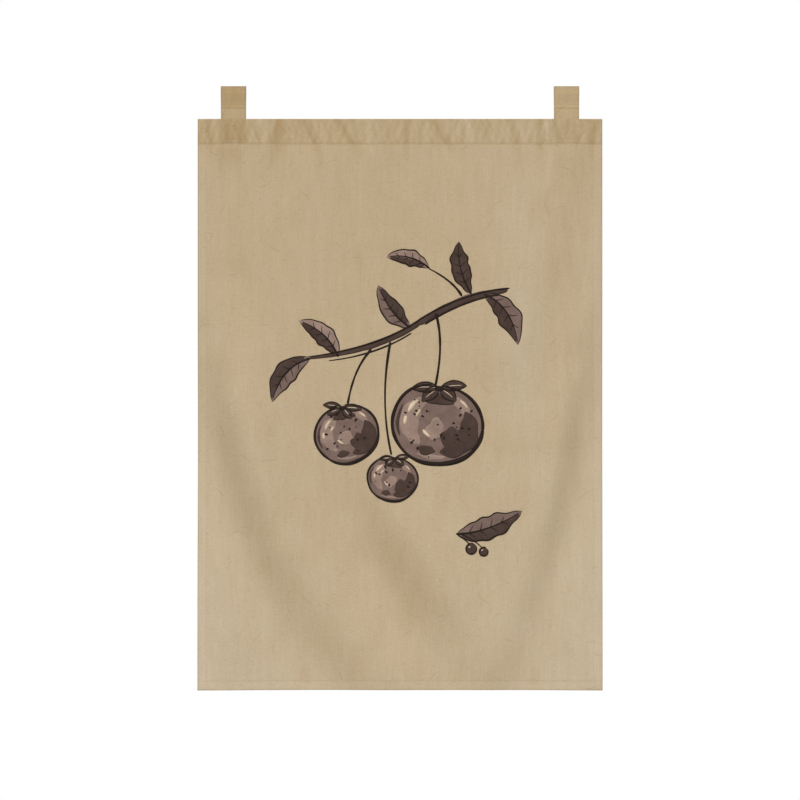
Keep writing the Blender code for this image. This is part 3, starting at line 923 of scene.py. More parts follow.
def add_stitches(name, rows, sewing, material):
    """Stitches along several rows. Each row gives the middle, the way along and the way out of
    every stitch, and all are set by one sum: middle + along, across and out of the shape."""
    shape, quads, fans = stitch_shape()
    middles, ways, outs = (np.concatenate(part)[:, None] for part in zip(*rows))
    along, across, out = shape.T[..., None] * (
        np.array((sewing.stitch, sewing.thread_thick / 2, sewing.thread_thick / 2))[:, None, None])
    places = middles + along * ways + across * np.cross(ways, outs) + out * outs
    starts = np.arange(len(middles))[:, None, None] * len(shape)
    faces = [(part[None] + starts).reshape(-1, part.shape[1]) for part in (quads, fans)]
    around = np.arctan2(shape[:, 2], shape[:, 1]) / (2 * np.pi)
    uv = np.stack((shape[:, 0] * sewing.stitch, around), 1)
    uv = np.broadcast_to(uv, (len(middles), *uv.shape))
    piece = add_piece(name, places, faces, material, uv)


def stitch_steps(start, end, sewing):
    """Middles of the stitches from one end of a row to the other."""
    count = int((end - start) / (sewing.stitch + sewing.gap))
    return start + (np.arange(count) + 0.5) * (end - start) / count


def row_frames(x, y, down, facing):
    """Middle, way along and way out of every stitch of a row, the ways worked out from the
    middles. Facing is -1 on the front of the cloth and 1 on its back."""
    middles = np.stack((x, y, HEADING_TOP - down), 1)
    ways = unit(np.gradient(middles, axis=0))
    outs = np.zeros(middles.shape)
    outs[:, 1] = facing
    outs -= ways * (ways * outs).sum(axis=1)[:, None]
    return middles, ways, unit(outs)


def back_of_stack(sizes, tabs, x, down, stack):
    """Back face of the rearmost layer of a turned edge."""
    return CLOTH_FRONT + sizes.thickness - cloth_relief(sizes, tabs, x, down) + stack


def heading_seam_rows(front, sizes, tabs, sewing):
    """The row along the foot of the heading, on the front, and on the back over the tabs' legs."""
    x = stitch_steps(-sizes.width / 2 + CLEAR_OF_TURN, sizes.width / 2 - CLEAR_OF_TURN, sewing)
    down = np.full(len(x), seam_downs(sizes)[0])
    back_y = back_of_stack(sizes, tabs, x, down, stack_depth(sizes, x, HEADING_STACK))
    leg_back = LEG_CENTRE + tabs.thickness / 2 - cloth_relief(sizes, tabs, x, down)
    for left, right in tab_spans(sizes, tabs):
        back_y = np.where((x > left) & (x < right), leg_back, back_y)
    return row_frames(x, front.at(x, down), down, -1), row_frames(x, back_y, down, 1)


def hem_seam_rows(front, sizes, tabs, sewing):
    """The rows of the foot hem and of the two side hems, on the front and on the back."""
    seam, foot = side_seam_x(sizes), seam_downs(sizes)[1]
    across = stitch_steps(-seam, seam, sewing)
    along = stitch_steps(sizes.heading + CLEAR_OF_TURN, sizes.drop - CLEAR_OF_TURN, sewing)
    rows = []
    for x, down in ((across, foot), (-seam, along), (seam, along)):
        x, down = np.broadcast_arrays(x, down)
        back_y = back_of_stack(sizes, tabs, x, down, 2 * sizes.layer_pitch)
        rows += [row_frames(x, front.at(x, down), down, -1), row_frames(x, back_y, down, 1)]
    return rows


def tab_seam_rows(sizes, tabs, sewing):
    """The row that closes each loop, on the front of the tab and on its back."""
    rows = []
    face = LEG_CENTRE + tabs.thickness / 2 - TAB_PINCH
    for left, right in tab_spans(sizes, tabs):
        x = stitch_steps(left + sewing.gap, right - sewing.gap, sewing)
        down = np.full(len(x), HEADING_TOP - TAB_SEAM_Z)
        rows += [row_frames(x, np.full(len(x), facing * face), down, facing) for facing in (-1, 1)]
    return rows


class MakeCloth(bpy.types.Operator):
    """Make the cloth: one sheet with its heading, side hems and foot hem turned to the back"""

    bl_idname = "noren.make_cloth"
    bl_label = "Make Cloth"

    def execute(self, context):
        sizes, tabs = context.scene.noren_cloth, context.scene.noren_tabs
        places, uv = cloth_grid(sizes, tabs)
        faces = [grid_faces(*places.shape[:2])]
        material = cloth_material("curtain cloth", sizes)
        marks = cloth_marks(sizes, tabs, places)
        piece = add_piece("curtain_cloth", places, faces, material, uv, **marks)
        thicken(piece, sizes.thickness)
        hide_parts("panel", "heading")
        return {"FINISHED"}


class MakeTabs(bpy.types.Operator):
    """Make the two tabs, each a strip folded over the room for the rod"""

    bl_idname = "noren.make_tabs"
    bl_label = "Make Tabs"

    def execute(self, context):
        sizes, tabs = context.scene.noren_cloth, context.scene.noren_tabs
        left, right = tab_spans(sizes, tabs)
        material = cloth_material("tab cloth", sizes)
        make_tab("tab_strip_left", "tab_left", left, sizes, tabs, material,
                 tabs.left_tone, tabs.left_leg_tone)
        make_tab("tab_strip_right", "tab_right", right, sizes, tabs, material,
                 tabs.right_tone, tabs.right_leg_tone)
        return {"FINISHED"}


class SewSeams(bpy.types.Operator):
    """Sew the rows of stitches of the heading, the hems and the tabs, on both faces"""

    bl_idname = "noren.sew_seams"
    bl_label = "Sew Seams"

    def execute(self, context):
        scene = context.scene
        sizes, tabs, sewing = scene.noren_cloth, scene.noren_tabs, scene.noren_sewing
        material = thread_material("sewing thread", sewing.thread)
        front = FrontFace(sizes, tabs)
        heading_rows = heading_seam_rows(front, sizes, tabs, sewing)
        add_stitches("seam_heading", heading_rows, sewing, material)
        add_stitches("seam_hems", hem_seam_rows(front, sizes, tabs, sewing), sewing, material)
        add_stitches("seam_tabs", tab_seam_rows(sizes, tabs, sewing), sewing, material)
        return {"FINISHED"}


# Print: brush-drawn fruit on a branch. Places are across and down the cloth, and every mark is
# a grid that lies on its front face: its mesh, its thickness and how far each ink lies over it
MARK_PITCH = 0.0055
LEAST_PLACES = 7
WASH_LINES, DOT_LINES, BERRY_LINES = 9, 5, 7
MARK_THICKNESS = 0.00006
MARK_STEP = 0.000003
LIFTS = {"mauve": 0.00020, "taupe": 0.00026, "umber": 0.00032, "pale": 0.00038, "ink": 0.00044}
BRUSH_UNEVENNESS = 0.208
BRUSH_TURNS = (0.8, 5.0)
BRUSH_WAVES = 6
BRUSH_END = 0.9
BRUSH_BLUNT = 0.95
WOBBLE_ORDERS = (2, 3, 4, 5, 6)
WOBBLE_HEIGHTS = (0.6, 2.0)

Stroke = namedtuple("Stroke", "colour x_start down_start x_bend down_bend x_end down_end "
                              "width_start width_bend width_end")
STROKES = (
    Stroke("umber", 0.226, 0.360, 0.130, 0.370, 0.038, 0.432, 0.0110, 0.0150, 0.0120),
    Stroke("umber", 0.042, 0.428, -0.050, 0.490, -0.190, 0.503, 0.0120, 0.0100, 0.0050),
    Stroke("mauve", 0.200, 0.361, 0.140, 0.366, 0.090, 0.396, 0.0040, 0.0070, 0.0030),
    Stroke("mauve", 0.010, 0.448, -0.040, 0.480, -0.110, 0.492, 0.0030, 0.0060, 0.0020),
    Stroke("ink", 0.230, 0.356, 0.130, 0.363, 0.036, 0.425, 0.0036, 0.0044, 0.0040),
    Stroke("ink", 0.040, 0.423, -0.048, 0.482, -0.194, 0.500, 0.0040, 0.0044, 0.0020),
    Stroke("ink", 0.212, 0.370, 0.140, 0.376, 0.052, 0.432, 0.0020, 0.0042, 0.0030),
    Stroke("ink", 0.024, 0.450, -0.050, 0.497, -0.150, 0.508, 0.0026, 0.0036, 0.0016),
    Stroke("ink", 0.075, 0.408, 0.094, 0.470, 0.074, 0.562, 0.0070, 0.0046, 0.0052),
    Stroke("ink", -0.060, 0.484, -0.098, 0.524, -0.110, 0.600, 0.0060, 0.0042, 0.0048),
    Stroke("ink", -0.020, 0.468, -0.044, 0.590, -0.018, 0.706, 0.0060, 0.0040, 0.0046),
    Stroke("ink", 0.130, 0.372, 0.112, 0.340, 0.060, 0.314, 0.0060, 0.0040, 0.0024),
    Stroke("ink", 0.118, 0.872, 0.132, 0.880, 0.147, 0.894, 0.0020, 0.0026, 0.0020),
    Stroke("ink", 0.122, 0.870, 0.150, 0.880, 0.172, 0.900, 0.0018, 0.0024, 0.0020),
)

# A leaf: its midrib from stem to tip, how wide it is, and its wash
Leaf = namedtuple("Leaf", "x_stem down_stem x_bend down_bend x_tip down_tip "
                          "half_width colour seed")
LEAVES = (
    Leaf(0.176, 0.368, 0.236, 0.392, 0.248, 0.474, 0.0230, "mauve", 3),
    Leaf(0.150, 0.368, 0.118, 0.316, 0.124, 0.258, 0.0190, "umber", 4),
    Leaf(-0.188, 0.503, -0.252, 0.520, -0.268, 0.594, 0.0220, "mauve", 5),
    Leaf(-0.130, 0.500, -0.150, 0.446, -0.212, 0.424, 0.0200, "taupe", 6),
    Leaf(0.022, 0.438, -0.022, 0.412, -0.046, 0.350, 0.0200, "mauve", 7),
    Leaf(0.062, 0.314, 0.022, 0.280, -0.028, 0.290, 0.0160, "taupe", 8),
    Leaf(0.118, 0.872, 0.180, 0.872, 0.256, 0.824, 0.0240, "mauve", 9),
)
LEAF_ROUNDNESS = 0.8
LEAF_LEAST = 0.03
LEAF_VEINS = (0.22, 0.38, 0.54, 0.70)
VEIN_POINTS = 7
VEIN_LEAN = 0.11
VEIN_REACH = 0.72
VEIN_BEND = 0.15

# Widths of the strokes that draw a leaf, at their start, middle and end
MIDRIB_BRUSH = (0.0045, 0.0030, 0.0012)
RIM_BRUSH = (0.0012, 0.0028, 0.0010)
VEIN_BRUSH = (0.0021, 0.0015, 0.00075)

# A fruit: its middle and half sizes, turned by an angle, with so many specks on its skin
Fruit = namedtuple("Fruit", "x down half_width half_height turn specks seed")
FRUITS = (
    Fruit(0.078, 0.642, 0.096, 0.084, 4.0, 34, 21),
    Fruit(-0.112, 0.662, 0.068, 0.061, -9.0, 18, 22),
    Fruit(-0.016, 0.756, 0.053, 0.047, 6.0, 12, 23),
)

# Round washes of a fruit, their middles and half sizes as shares of its own. The first one's seed
# is the fruit's times the number of seeds kept for each
Wash = namedtuple("Wash", "colour x down half_width half_height wobble")
WASHES = (
    Wash("mauve", 0.00, 0.00, 0.985, 0.985, 0.020),
    Wash("umber", 0.34, 0.30, 0.24, 0.26, 0.160),
    Wash("umber", -0.20, 0.66, 0.20, 0.11, 0.160),
    Wash("taupe", -0.04, 0.14, 0.22, 0.26, 0.160),
)
WASH_SEEDS = 20

# Strokes that follow the round of a fruit, anticlockwise from its right: at which share of its
# radius, from and to an angle, and the width at the start, middle and end as shares of its half
# width. Those in ink at the full radius draw its rim
Arc = namedtuple("Arc", "colour radius from_degrees to_degrees "
                        "width_start width_middle width_end")
ARCS = (
    Arc("taupe", 0.62, 112.0, 236.0, 0.16, 0.44, 0.12),
    Arc("taupe", 0.72, 18.0, 74.0, 0.06, 0.24, 0.10),
    Arc("taupe", 0.84, -118.0, -74.0, 0.04, 0.12, 0.04),
    Arc("umber", 0.70, -82.0, 32.0, 0.10, 0.50, 0.08),
    Arc("umber", 0.66, 58.0, 122.0, 0.10, 0.26, 0.10),
    Arc("umber", 0.88, 150.0, 204.0, 0.02, 0.07, 0.02),
    Arc("pale", 0.70, 128.0, 158.0, 0.05, 0.10, 0.04),
    Arc("pale", 0.72, 166.0, 184.0, 0.04, 0.08, 0.03),
    Arc("pale", 0.50, 138.0, 160.0, 0.03, 0.06, 0.02),
    Arc("pale", 0.80, 36.0, 54.0, 0.03, 0.06, 0.02),
    Arc("pale", 0.34, 206.0, 246.0, 0.03, 0.07, 0.03),
    Arc("ink", 1.0, 100.0, 232.0, 0.040, 0.075, 0.050),
    Arc("ink", 1.0, 226.0, 358.0, 0.045, 0.105, 0.060),
    Arc("ink", 1.0, -6.0, 86.0, 0.060, 0.070, 0.030),
)
ARC_DENSITY = 1.6
ARC_PLACES = 6
RIM_WOBBLE = 0.020

# Specks on the skin: their radii, their length over their width, and how far out they reach, as
# a share of the fruit's area
SPECK_SIZES = (0.0009, 0.0024)
SPECK_STRETCH = 1.5
SPECK_WOBBLE = 0.15
SPECK_REACH = 0.72

# The four lobes at a fruit's crown, as the angle that each points in and its length and half
# width as shares of the fruit's half width, with the eye between them in the same shares
Lobe = namedtuple("Lobe", "degrees length half_width")
LOBES = (
    Lobe(176.0, 0.62, 0.11),
    Lobe(222.0, 0.56, 0.13),
    Lobe(308.0, 0.54, 0.13),
    Lobe(4.0, 0.60, 0.11),
)
LOBE_LEAST = 0.06
LOBE_SLANT = 0.70
LOBE_RISE = 0.07
LOBE_RIM = 0.026
LOBE_RIM_ENDS = (0.0012, 0.0010)
LOBE_BRUSH = (0.0010, 0.0016, 0.0008)
CROWN_HEIGHT = 0.90
EYE = (0.10, 0.06)
EYE_WOBBLE = 0.06

# Berries beside the fallen leaf, with a light and a rim on each
Berry = namedtuple("Berry", "x down radius seed")
BERRIES = (Berry(0.150, 0.903, 0.0115, 41), Berry(0.176, 0.909, 0.0095, 42))
BERRY_WOBBLE = 0.03
BERRY_LIGHT = Wash("pale", -0.35, -0.30, 0.22, 0.14, 0.10)
BERRY_LIGHT_TURN = -0.6
BERRY_RIM_DEGREES = (-30.0, 300.0)
BERRY_RIM_POINTS = 26
BERRY_BRUSH = (0.0012, 0.0026, 0.0014)


def path_count(start, bend, end):
    """Number of places along a bent line that keeps them about a mark's pitch apart."""
    long = np.hypot(*np.subtract(bend, start)) + np.hypot(*np.subtract(end, bend))
    return max(LEAST_PLACES, int(long / MARK_PITCH) + 2)


def uneven(count, seed):
    """A seeded wavering about 1, as a sum of sines along the way."""
    draw = np.random.default_rng(seed)
    turns = draw.uniform(*BRUSH_TURNS, BRUSH_WAVES)[:, None]
    starts = draw.uniform(0.0, 2 * np.pi, BRUSH_WAVES)[:, None]
    t = np.linspace(0.0, 1.0, count)
    return 1 + BRUSH_UNEVENNESS * np.sin(2 * np.pi * turns * t + starts).mean(axis=0)


def ribbon(path, half_width):
    """A grid along a path: path + s times the half width times the way's right-hand normal, s
    from -1 to 1."""
    way = unit(np.gradient(path, axis=0))
    normal = np.stack((way[:, 1], -way[:, 0]), 1)
    lanes = max(3, int(np.ceil(2 * half_width.max() / MARK_PITCH)) + 1)
    s = np.linspace(-1.0, 1.0, lanes)[:, None]
    return path[:, None] + normal[:, None] * s * half_width[:, None, None]


def brush(path, widths, seed):
    """A brush stroke: a ribbon whose width is bent between its start, middle and end and wavers,
    with round ends."""
    start, middle, end = widths
    count = len(path)
    width = quadratic((start,), (2 * middle - (start + end) / 2,), (end,), count)[:, 0]
    along = lengths_along(path)
    to_end = np.minimum(along, along[-1] - along)
    blunt = np.clip(1 - to_end / (BRUSH_END * width), 0.0, BRUSH_BLUNT)
    return ribbon(path, width / 2 * uneven(count, seed) * np.sqrt(1 - blunt ** 2))


def tapered(count, least):
    """Half width of a leaf along its midrib: the sine of pi t to a power, t from 0 to 1."""
    t = np.linspace(0.0, 1.0, count)
    return np.clip(np.sin(np.pi * t), least, 1.0) ** LEAF_ROUNDNESS


def wobbly_radius(angle, wobble, seed):
    """1 + the wobble times a seeded sum of cosines of two to six times the angle."""
    draw = np.random.default_rng(seed)
    heights = draw.uniform(*WOBBLE_HEIGHTS, len(WOBBLE_ORDERS))
    starts = draw.uniform(0.0, 2 * np.pi, len(WOBBLE_ORDERS))
    return 1 + wobble * sum(height / order * np.cos(order * angle + start)
                            for height, order, start in zip(heights, WOBBLE_ORDERS, starts))


def placed(across, down, middle, half_sizes, turn):
    """Places given as shares of the half sizes, turned by an angle and moved to the middle."""
    x, z = across * half_sizes[0], down * half_sizes[1]
    cos, sin = np.cos(turn), np.sin(turn)
    return np.stack((middle[0] + x * cos - z * sin, middle[1] + x * sin + z * cos), axis=-1)


def disc(count):
    """A square grid mapped to a disc: u sqrt(1 - v^2 / 2) across and v sqrt(1 - u^2 / 2) down."""
    u, v = np.meshgrid(np.linspace(-1, 1, count), np.linspace(-1, 1, count))
    return u * np.sqrt(1 - v ** 2 / 2), v * np.sqrt(1 - u ** 2 / 2)


def blot(middle, half_sizes, turn, wobble, seed, least):
    """A round wash: a disc of at least so many mesh lines, with its radius wobbling round it."""
    across, down = disc(max(least, int(np.ceil(2 * max(half_sizes) / MARK_PITCH)) + 1))
    radius = wobbly_radius(np.arctan2(down, across), wobble, seed)
    return placed(across * radius, down * radius, middle, half_sizes, turn)


def stroke_mark(stroke, seed):
    """A stroke of the branch, from its start over its bend to its end."""
    ends = stroke[1:3], stroke[3:5], stroke[5:7]
    return stroke.colour, brush(quadratic(*ends, path_count(*ends) * 2), stroke[7:], seed)


def leaf_marks(leaf):
    """A leaf: a wash along its midrib, one half of it darker, and over it the midrib, veins that
    lean forward and an inked rim."""
    ends = leaf[0:2], leaf[2:4], leaf[4:6]
    count = path_count(*ends) * 2
    midrib = quadratic(*ends, count)
    half_width = leaf.half_width * tapered(count, LEAF_LEAST)
    body = ribbon(midrib, half_width * uneven(count, leaf.seed))
    middle_lane = body.shape[1] // 2
    half = body[:, :middle_lane + 1] if leaf.seed % 2 else body[:, middle_lane:]
    marks = [(leaf.colour, body), ("ink", brush(midrib[:-2], MIDRIB_BRUSH, leaf.seed)),
             ("mauve" if leaf.colour == "umber" else "umber", half[5:-3])]
    for side in (0, -1):
        marks.append(("ink", brush(body[2:-1, side], RIM_BRUSH, leaf.seed + 10 + side)))
        for place in LEAF_VEINS:
            root = body[int(place * count), middle_lane]
            tip_row = min(count - 1, int((place + VEIN_LEAN) * count))
            tip = root + (body[tip_row, side] - root) * VEIN_REACH
            bent = (root + tip) / 2 + (midrib[tip_row] - root) * VEIN_BEND
            vein = quadratic(root, bent, tip, VEIN_POINTS)
            marks.append(("ink", brush(vein, VEIN_BRUSH, leaf.seed)))
    return marks


def fruit_marks(fruit):
    """A fruit: wobbling washes, strokes that follow its round, specks, and a crown of lobes."""
    middle, sizes, turn = fruit[0:2], fruit[2:4], np.radians(fruit.turn)
    marks = []
    for seed, wash in enumerate(WASHES, fruit.seed * WASH_SEEDS):
        centre = placed(wash.x, wash.down, middle, sizes, turn)
        half = np.multiply(wash[3:5], sizes)
        marks.append((wash.colour, blot(centre, half, turn, wash.wobble, seed, WASH_LINES)))
    for seed, arc in enumerate(ARCS, fruit.seed):
        span = np.radians(arc.to_degrees - arc.from_degrees)
        count = int(span * sizes[0] / MARK_PITCH * ARC_DENSITY) + ARC_PLACES
        angle = -np.radians(np.linspace(arc.from_degrees, arc.to_degrees, count))
        radius = arc.radius * wobbly_radius(angle, RIM_WOBBLE, fruit.seed * WASH_SEEDS)
        path = placed(np.cos(angle) * radius, np.sin(angle) * radius, middle, sizes, turn)
        marks.append((arc.colour, brush(path, np.multiply(arc[4:], sizes[0]), seed)))
    draw = np.random.default_rng(fruit.seed)
    away = np.sqrt(draw.uniform(0.0, SPECK_REACH, fruit.specks))
    around = draw.uniform(0.0, 2 * np.pi, fruit.specks)
    radii = draw.uniform(*SPECK_SIZES, fruit.specks)
    centres = placed(away * np.cos(around), away * np.sin(around), middle, sizes, turn)
    for seed, (centre, radius, tilt) in enumerate(zip(centres, radii, around), fruit.seed):
        half = (radius * SPECK_STRETCH, radius)
        marks.append(("ink", blot(centre, half, tilt, SPECK_WOBBLE, seed, DOT_LINES)))
    return marks + crown_marks(fruit, middle, sizes, turn)


def crown_marks(fruit, middle, sizes, turn):
    """The crown of a fruit: umber lobes with inked edges and pale midribs, and a dark eye."""
    crown = placed(0.0, -CROWN_HEIGHT, middle, sizes, turn)
    rim = (LOBE_RIM_ENDS[0], LOBE_RIM * sizes[0], LOBE_RIM_ENDS[1])
    marks = []
    for seed, lobe in enumerate(LOBES, fruit.seed):
        angle = np.radians(lobe.degrees) + turn
        reach = np.array((np.cos(angle), -np.sin(angle) * LOBE_SLANT)) * lobe.length * sizes[0]
        ends = crown, crown + reach / 2 + (0.0, -LOBE_RISE * sizes[0]), crown + reach
        count = path_count(*ends) * 2
        spine = quadratic(*ends, count)
        body = ribbon(spine, lobe.half_width * sizes[0] * tapered(count, LOBE_LEAST))
        marks.append(("umber", body))
        marks += [("ink", brush(body[1:, side], rim, seed)) for side in (0, -1)]
        marks.append(("pale", brush(spine[3:-4], LOBE_BRUSH, seed)))
    eye = np.multiply(EYE, sizes[0])
    return marks + [("ink", blot(crown, eye, turn, EYE_WOBBLE, fruit.seed, BERRY_LINES))]


def berry_marks(berry):
    """A small berry: one umber wash, a pale light and a rim in ink."""
    centre, half, light = berry[0:2], (berry.radius, berry.radius), BERRY_LIGHT
    angle = np.radians(np.linspace(*BERRY_RIM_DEGREES, BERRY_RIM_POINTS))
    rim = placed(np.cos(angle), np.sin(angle), centre, half, 0.0)
    place = placed(light.x, light.down, centre, half, 0.0)
    lit = np.multiply(light[3:5], berry.radius)
    shine = blot(place, lit, BERRY_LIGHT_TURN, light.wobble, berry.seed, DOT_LINES)
    return [("umber", blot(centre, half, 0.0, BERRY_WOBBLE, berry.seed, BERRY_LINES)),
            (light.colour, shine), ("ink", brush(rim, BERRY_BRUSH, berry.seed))]


def print_marks():
    """Every mark of the print as its colour and its grid."""
    marks = [stroke_mark(stroke, seed) for seed, stroke in enumerate(STROKES)]
    for table, draw in ((LEAVES, leaf_marks), (FRUITS, fruit_marks), (BERRIES, berry_marks)):
        for row in table:
            marks += draw(row)
    return marks


class PrintFront(bpy.types.Operator):
    """Print the fruit branch on the front of the cloth, one piece for each ink"""

    bl_idname = "noren.print_front"
    bl_label = "Print Front"

    def execute(self, context):
        scene = context.scene
        sizes, tabs, inks = scene.noren_cloth, scene.noren_tabs, scene.noren_print
        front = FrontFace(sizes, tabs)
        marks = print_marks()
        for ink, lift in LIFTS.items():
            grids = [grid for colour_name, grid in marks if colour_name == ink]
            places, faces, first = [], [], 0
            for number, grid in enumerate(grids):
                x, down = grid[..., 0], grid[..., 1]
                y = front.at(x, down) - lift - number * MARK_STEP
                places.append(np.stack((x, y, HEADING_TOP - down), axis=-1).reshape(-1, 3))
                faces.append(grid_faces(*x.shape, first))
                first += x.size
            places = np.concatenate(places)
            uv = places[:, ::2] - (0.0, HEADING_TOP)
            material = ink_material(f"{ink} ink", getattr(inks, ink), sizes)
            piece = add_piece(f"print_{ink}", places, faces, material, uv)
            thicken(piece, MARK_THICKNESS)
        return {"FINISHED"}


# Plain weave: how its threads wander, how round each lies along itself and where the gap begins
WEAVE_WANDER_SCALE = 220.0
WEAVE_WANDER = 0.0007
WEAVE_CROWN = 0.45
WEAVE_GAP = (0.05, 0.55)

# Slubs: stretched noise for each way of the threads, and the limits of the thick ones
WEFT_SCALE = (60.0, 480.0, 1.0)
WARP_SCALE = (380.0, 22.0, 1.0)
SLUB_DETAIL = 3.0
SLUB_ROUGHNESS = 0.6
SLUB_LIMITS = (0.60, 0.78)

# Relief of the weave: slubs and warp added to the threads' height, and the bump that it gives
SLUB_HEIGHT = 0.8
WARP_HEIGHT = 0.5
WEAVE_BUMP = {"Strength": 0.55, "Distance": 0.00022}

# Unevenness of the cloth: scale and detail of each noise, and how much it changes the tone
Mottle = namedtuple("Mottle", "scale detail tone")
MOTTLES = {
    "Broad": Mottle(14.0, 4.0, 0.085),
    "Bands": Mottle((58.0, 8.0, 1.0), 2.0, 0.095),
    "Fine": Mottle(160.0, 3.0, 0.11),
}

# Stray fibres: how far they turn, their least share of the length, the solid part of their width
# and of their length, the number that shuffles their chances, and their colour as shares of the
# dark thread's. Each kind comes with the share of that colour that it puts over the cloth
FIBRE_TURN = 2.4
FIBRE_LEAST = 0.2
FIBRE_CORE = 0.3
FIBRE_ENDS = 0.6
FIBRE_SHUFFLE = 7.31
FIBRE_TONES = (0.74, 0.57, 0.55)
FIBRES = (
    ({"Cell": 0.021, "Length": 0.0085, "Width": 0.00100, "Share": 0.32}, 0.28),
    ({"Cell": 0.062, "Length": 0.024, "Width": 0.00105, "Bend": 64.0, "Share": 0.34}, 0.36),
)

# Threads of another colour: a smooth step from one value of their noise to another, and the
# share of the other colour at each
Step = namedtuple("Step", "low high share_low share_high")
DARK_WEFT = Step(0.40, 0.60, 0.26, 0.08)
DARK_WARP = Step(0.50, 0.30, 0.0, 0.14)
PALE_WARP = Step(0.50, 0.72, 0.0, 0.22)
DARK_SLUB = 0.30
# Share of the dark thread's colour painted as shade in the gaps between the threads
GAP_SHADE = 0.20
CLOTH_ROUGHNESS = 0.86
CLOTH_SHINE = 0.12
ROUGHNESS_SPREAD = 0.10

# Ink: where it pools, how bright and pale it is where it lies thinly, and the cloth that shows
INK_POOL = {"Scale": 34.0, "Detail": 5.0}
INK_POOL_LIMITS = (0.36, 0.66)
INK_THIN = 1.22
INK_THIN_LIFT = 0.004
INK_GAP = 0.10
INK_SKIPPED = Step(0.66, 0.80, 0.0, 0.32)
INK_TONE = 0.30
INK_ROUGHNESS = 0.80
INK_SHINE = 0.14

# Sewing thread: length of one twist, the painted shade in the valleys between its plies and the
# relief of its plies
TWIST_LENGTH = 0.0007
TWIST_VALLEY_SHADE = 0.72
PLY_BUMP = {"Strength": 0.6, "Distance": 0.0001}
THREAD_ROUGHNESS = 0.75
THREAD_SHINE = 0.2

# Floor: its mesh lines, its two greys and the noise between them
FLOOR_LINES = 33
FLOOR_GREYS = ((0.62, 0.62, 0.62, 1.0), (0.67, 0.67, 0.67, 1.0))
FLOOR_SPOTS = {"Scale": 3.0, "Detail": 5.0}
FLOOR_ROUGHNESS = 0.8

# Light from behind: its tilt off the vertical and the angle that it fills in the sky
BACK_TILT = np.radians(55)
BACK_SOFTNESS = np.radians(60)

# Colours of the even light and of the ground that the camera sees
FILL_COLOUR = (1.0, 0.95, 0.87, 1.0)
GROUND_COLOUR = (1.0, 1.0, 1.0, 1.0)

# Numbers of the Mix node's colour sockets
MIX_A, MIX_B, MIX_RESULT = 6, 7, 2


def set_inputs(tree, node, inputs):
    """Give a node's inputs, by name or number, a value or another node's output socket, which is
    linked."""
    for key, value in dict(inputs).items():
        if isinstance(value, bpy.types.NodeSocket):
            tree.links.new(value, node.inputs[key])
        else:
            node.inputs[key].default_value = value


def put(tree, kind, inputs=(), **settings):
    """Add one node with its settings and its inputs."""
    node = tree.nodes.new(kind)
    for setting, value in settings.items():
        setattr(node, setting, value)
    set_inputs(tree, node, inputs)
    return node


def calc(tree, operation, *values):
    """One step of arithmetic on numbers or sockets."""
    return put(tree, "ShaderNodeMath", enumerate(values), operation=operation).outputs[0]


def vector_calc(tree, operation, *values):
    """One step of arithmetic on vectors."""
    return put(tree, "ShaderNodeVectorMath", enumerate(values), operation=operation).outputs[0]


def between(tree, value, low, high, to_low=0.0, to_high=1.0):
    """A smooth step of a value between two limits."""
    inputs = {"Value": value, "From Min": low, "From Max": high,
              "To Min": to_low, "To Max": to_high}
    return put(tree, "ShaderNodeMapRange", inputs, interpolation_type="SMOOTHSTEP").outputs[0]


def mixed(tree, share, a, b, blend="MIX"):
    """Two colours mixed or blended, by the share of the second."""
    inputs = {0: share, MIX_A: a, MIX_B: b}
    node = put(tree, "ShaderNodeMix", inputs, data_type="RGBA", blend_type=blend)
    return node.outputs[MIX_RESULT]


def noise(tree, vector, scale, detail, **more):
    """Noise over a vector, with one scale or one for each axis, as its outputs."""
    if not isinstance(scale, float):
        vector, scale = vector_calc(tree, "MULTIPLY", vector, scale), 1.0
    inputs = {"Vector": vector, "Scale": scale, "Detail": detail, **more}
    return put(tree, "ShaderNodeTexNoise", inputs).outputs


def axes(tree, vector):
    """The parts of a vector, by name."""
    return put(tree, "ShaderNodeSeparateXYZ", {0: vector}).outputs


def carried(tree, name):
    """The value of a mark that the mesh carries."""
    return put(tree, "ShaderNodeAttribute", attribute_name=name).outputs["Fac"]


def cut_place(tree):
    """Place on the cloth as it was cut."""
    return put(tree, "ShaderNodeUVMap", uv_map="cut").outputs["UV"]


def new_group(name, outputs, **numbers):
    """A new node group over a vector, with its other inputs as numbers by name. Returns it, what
    it is given and the node that takes what it makes."""
    group = bpy.data.node_groups.new(name, "ShaderNodeTree")
    group.interface.new_socket("Vector", in_out="INPUT", socket_type="NodeSocketVector")
    for socket, default in numbers.items():
        made = group.interface.new_socket(socket, in_out="INPUT", socket_type="NodeSocketFloat")
        made.default_value = default
    for socket in outputs:
        group.interface.new_socket(socket, in_out="OUTPUT", socket_type="NodeSocketFloat")
    return group, group.nodes.new("NodeGroupInput").outputs, group.nodes.new("NodeGroupOutput")


def use_group(tree, name, build, **inputs):
    """Place a shared group, built on its first use, with a material's own values."""
    group = bpy.data.node_groups.get(name) or build(name)
    return put(tree, "ShaderNodeGroup", inputs, node_tree=group).outputs


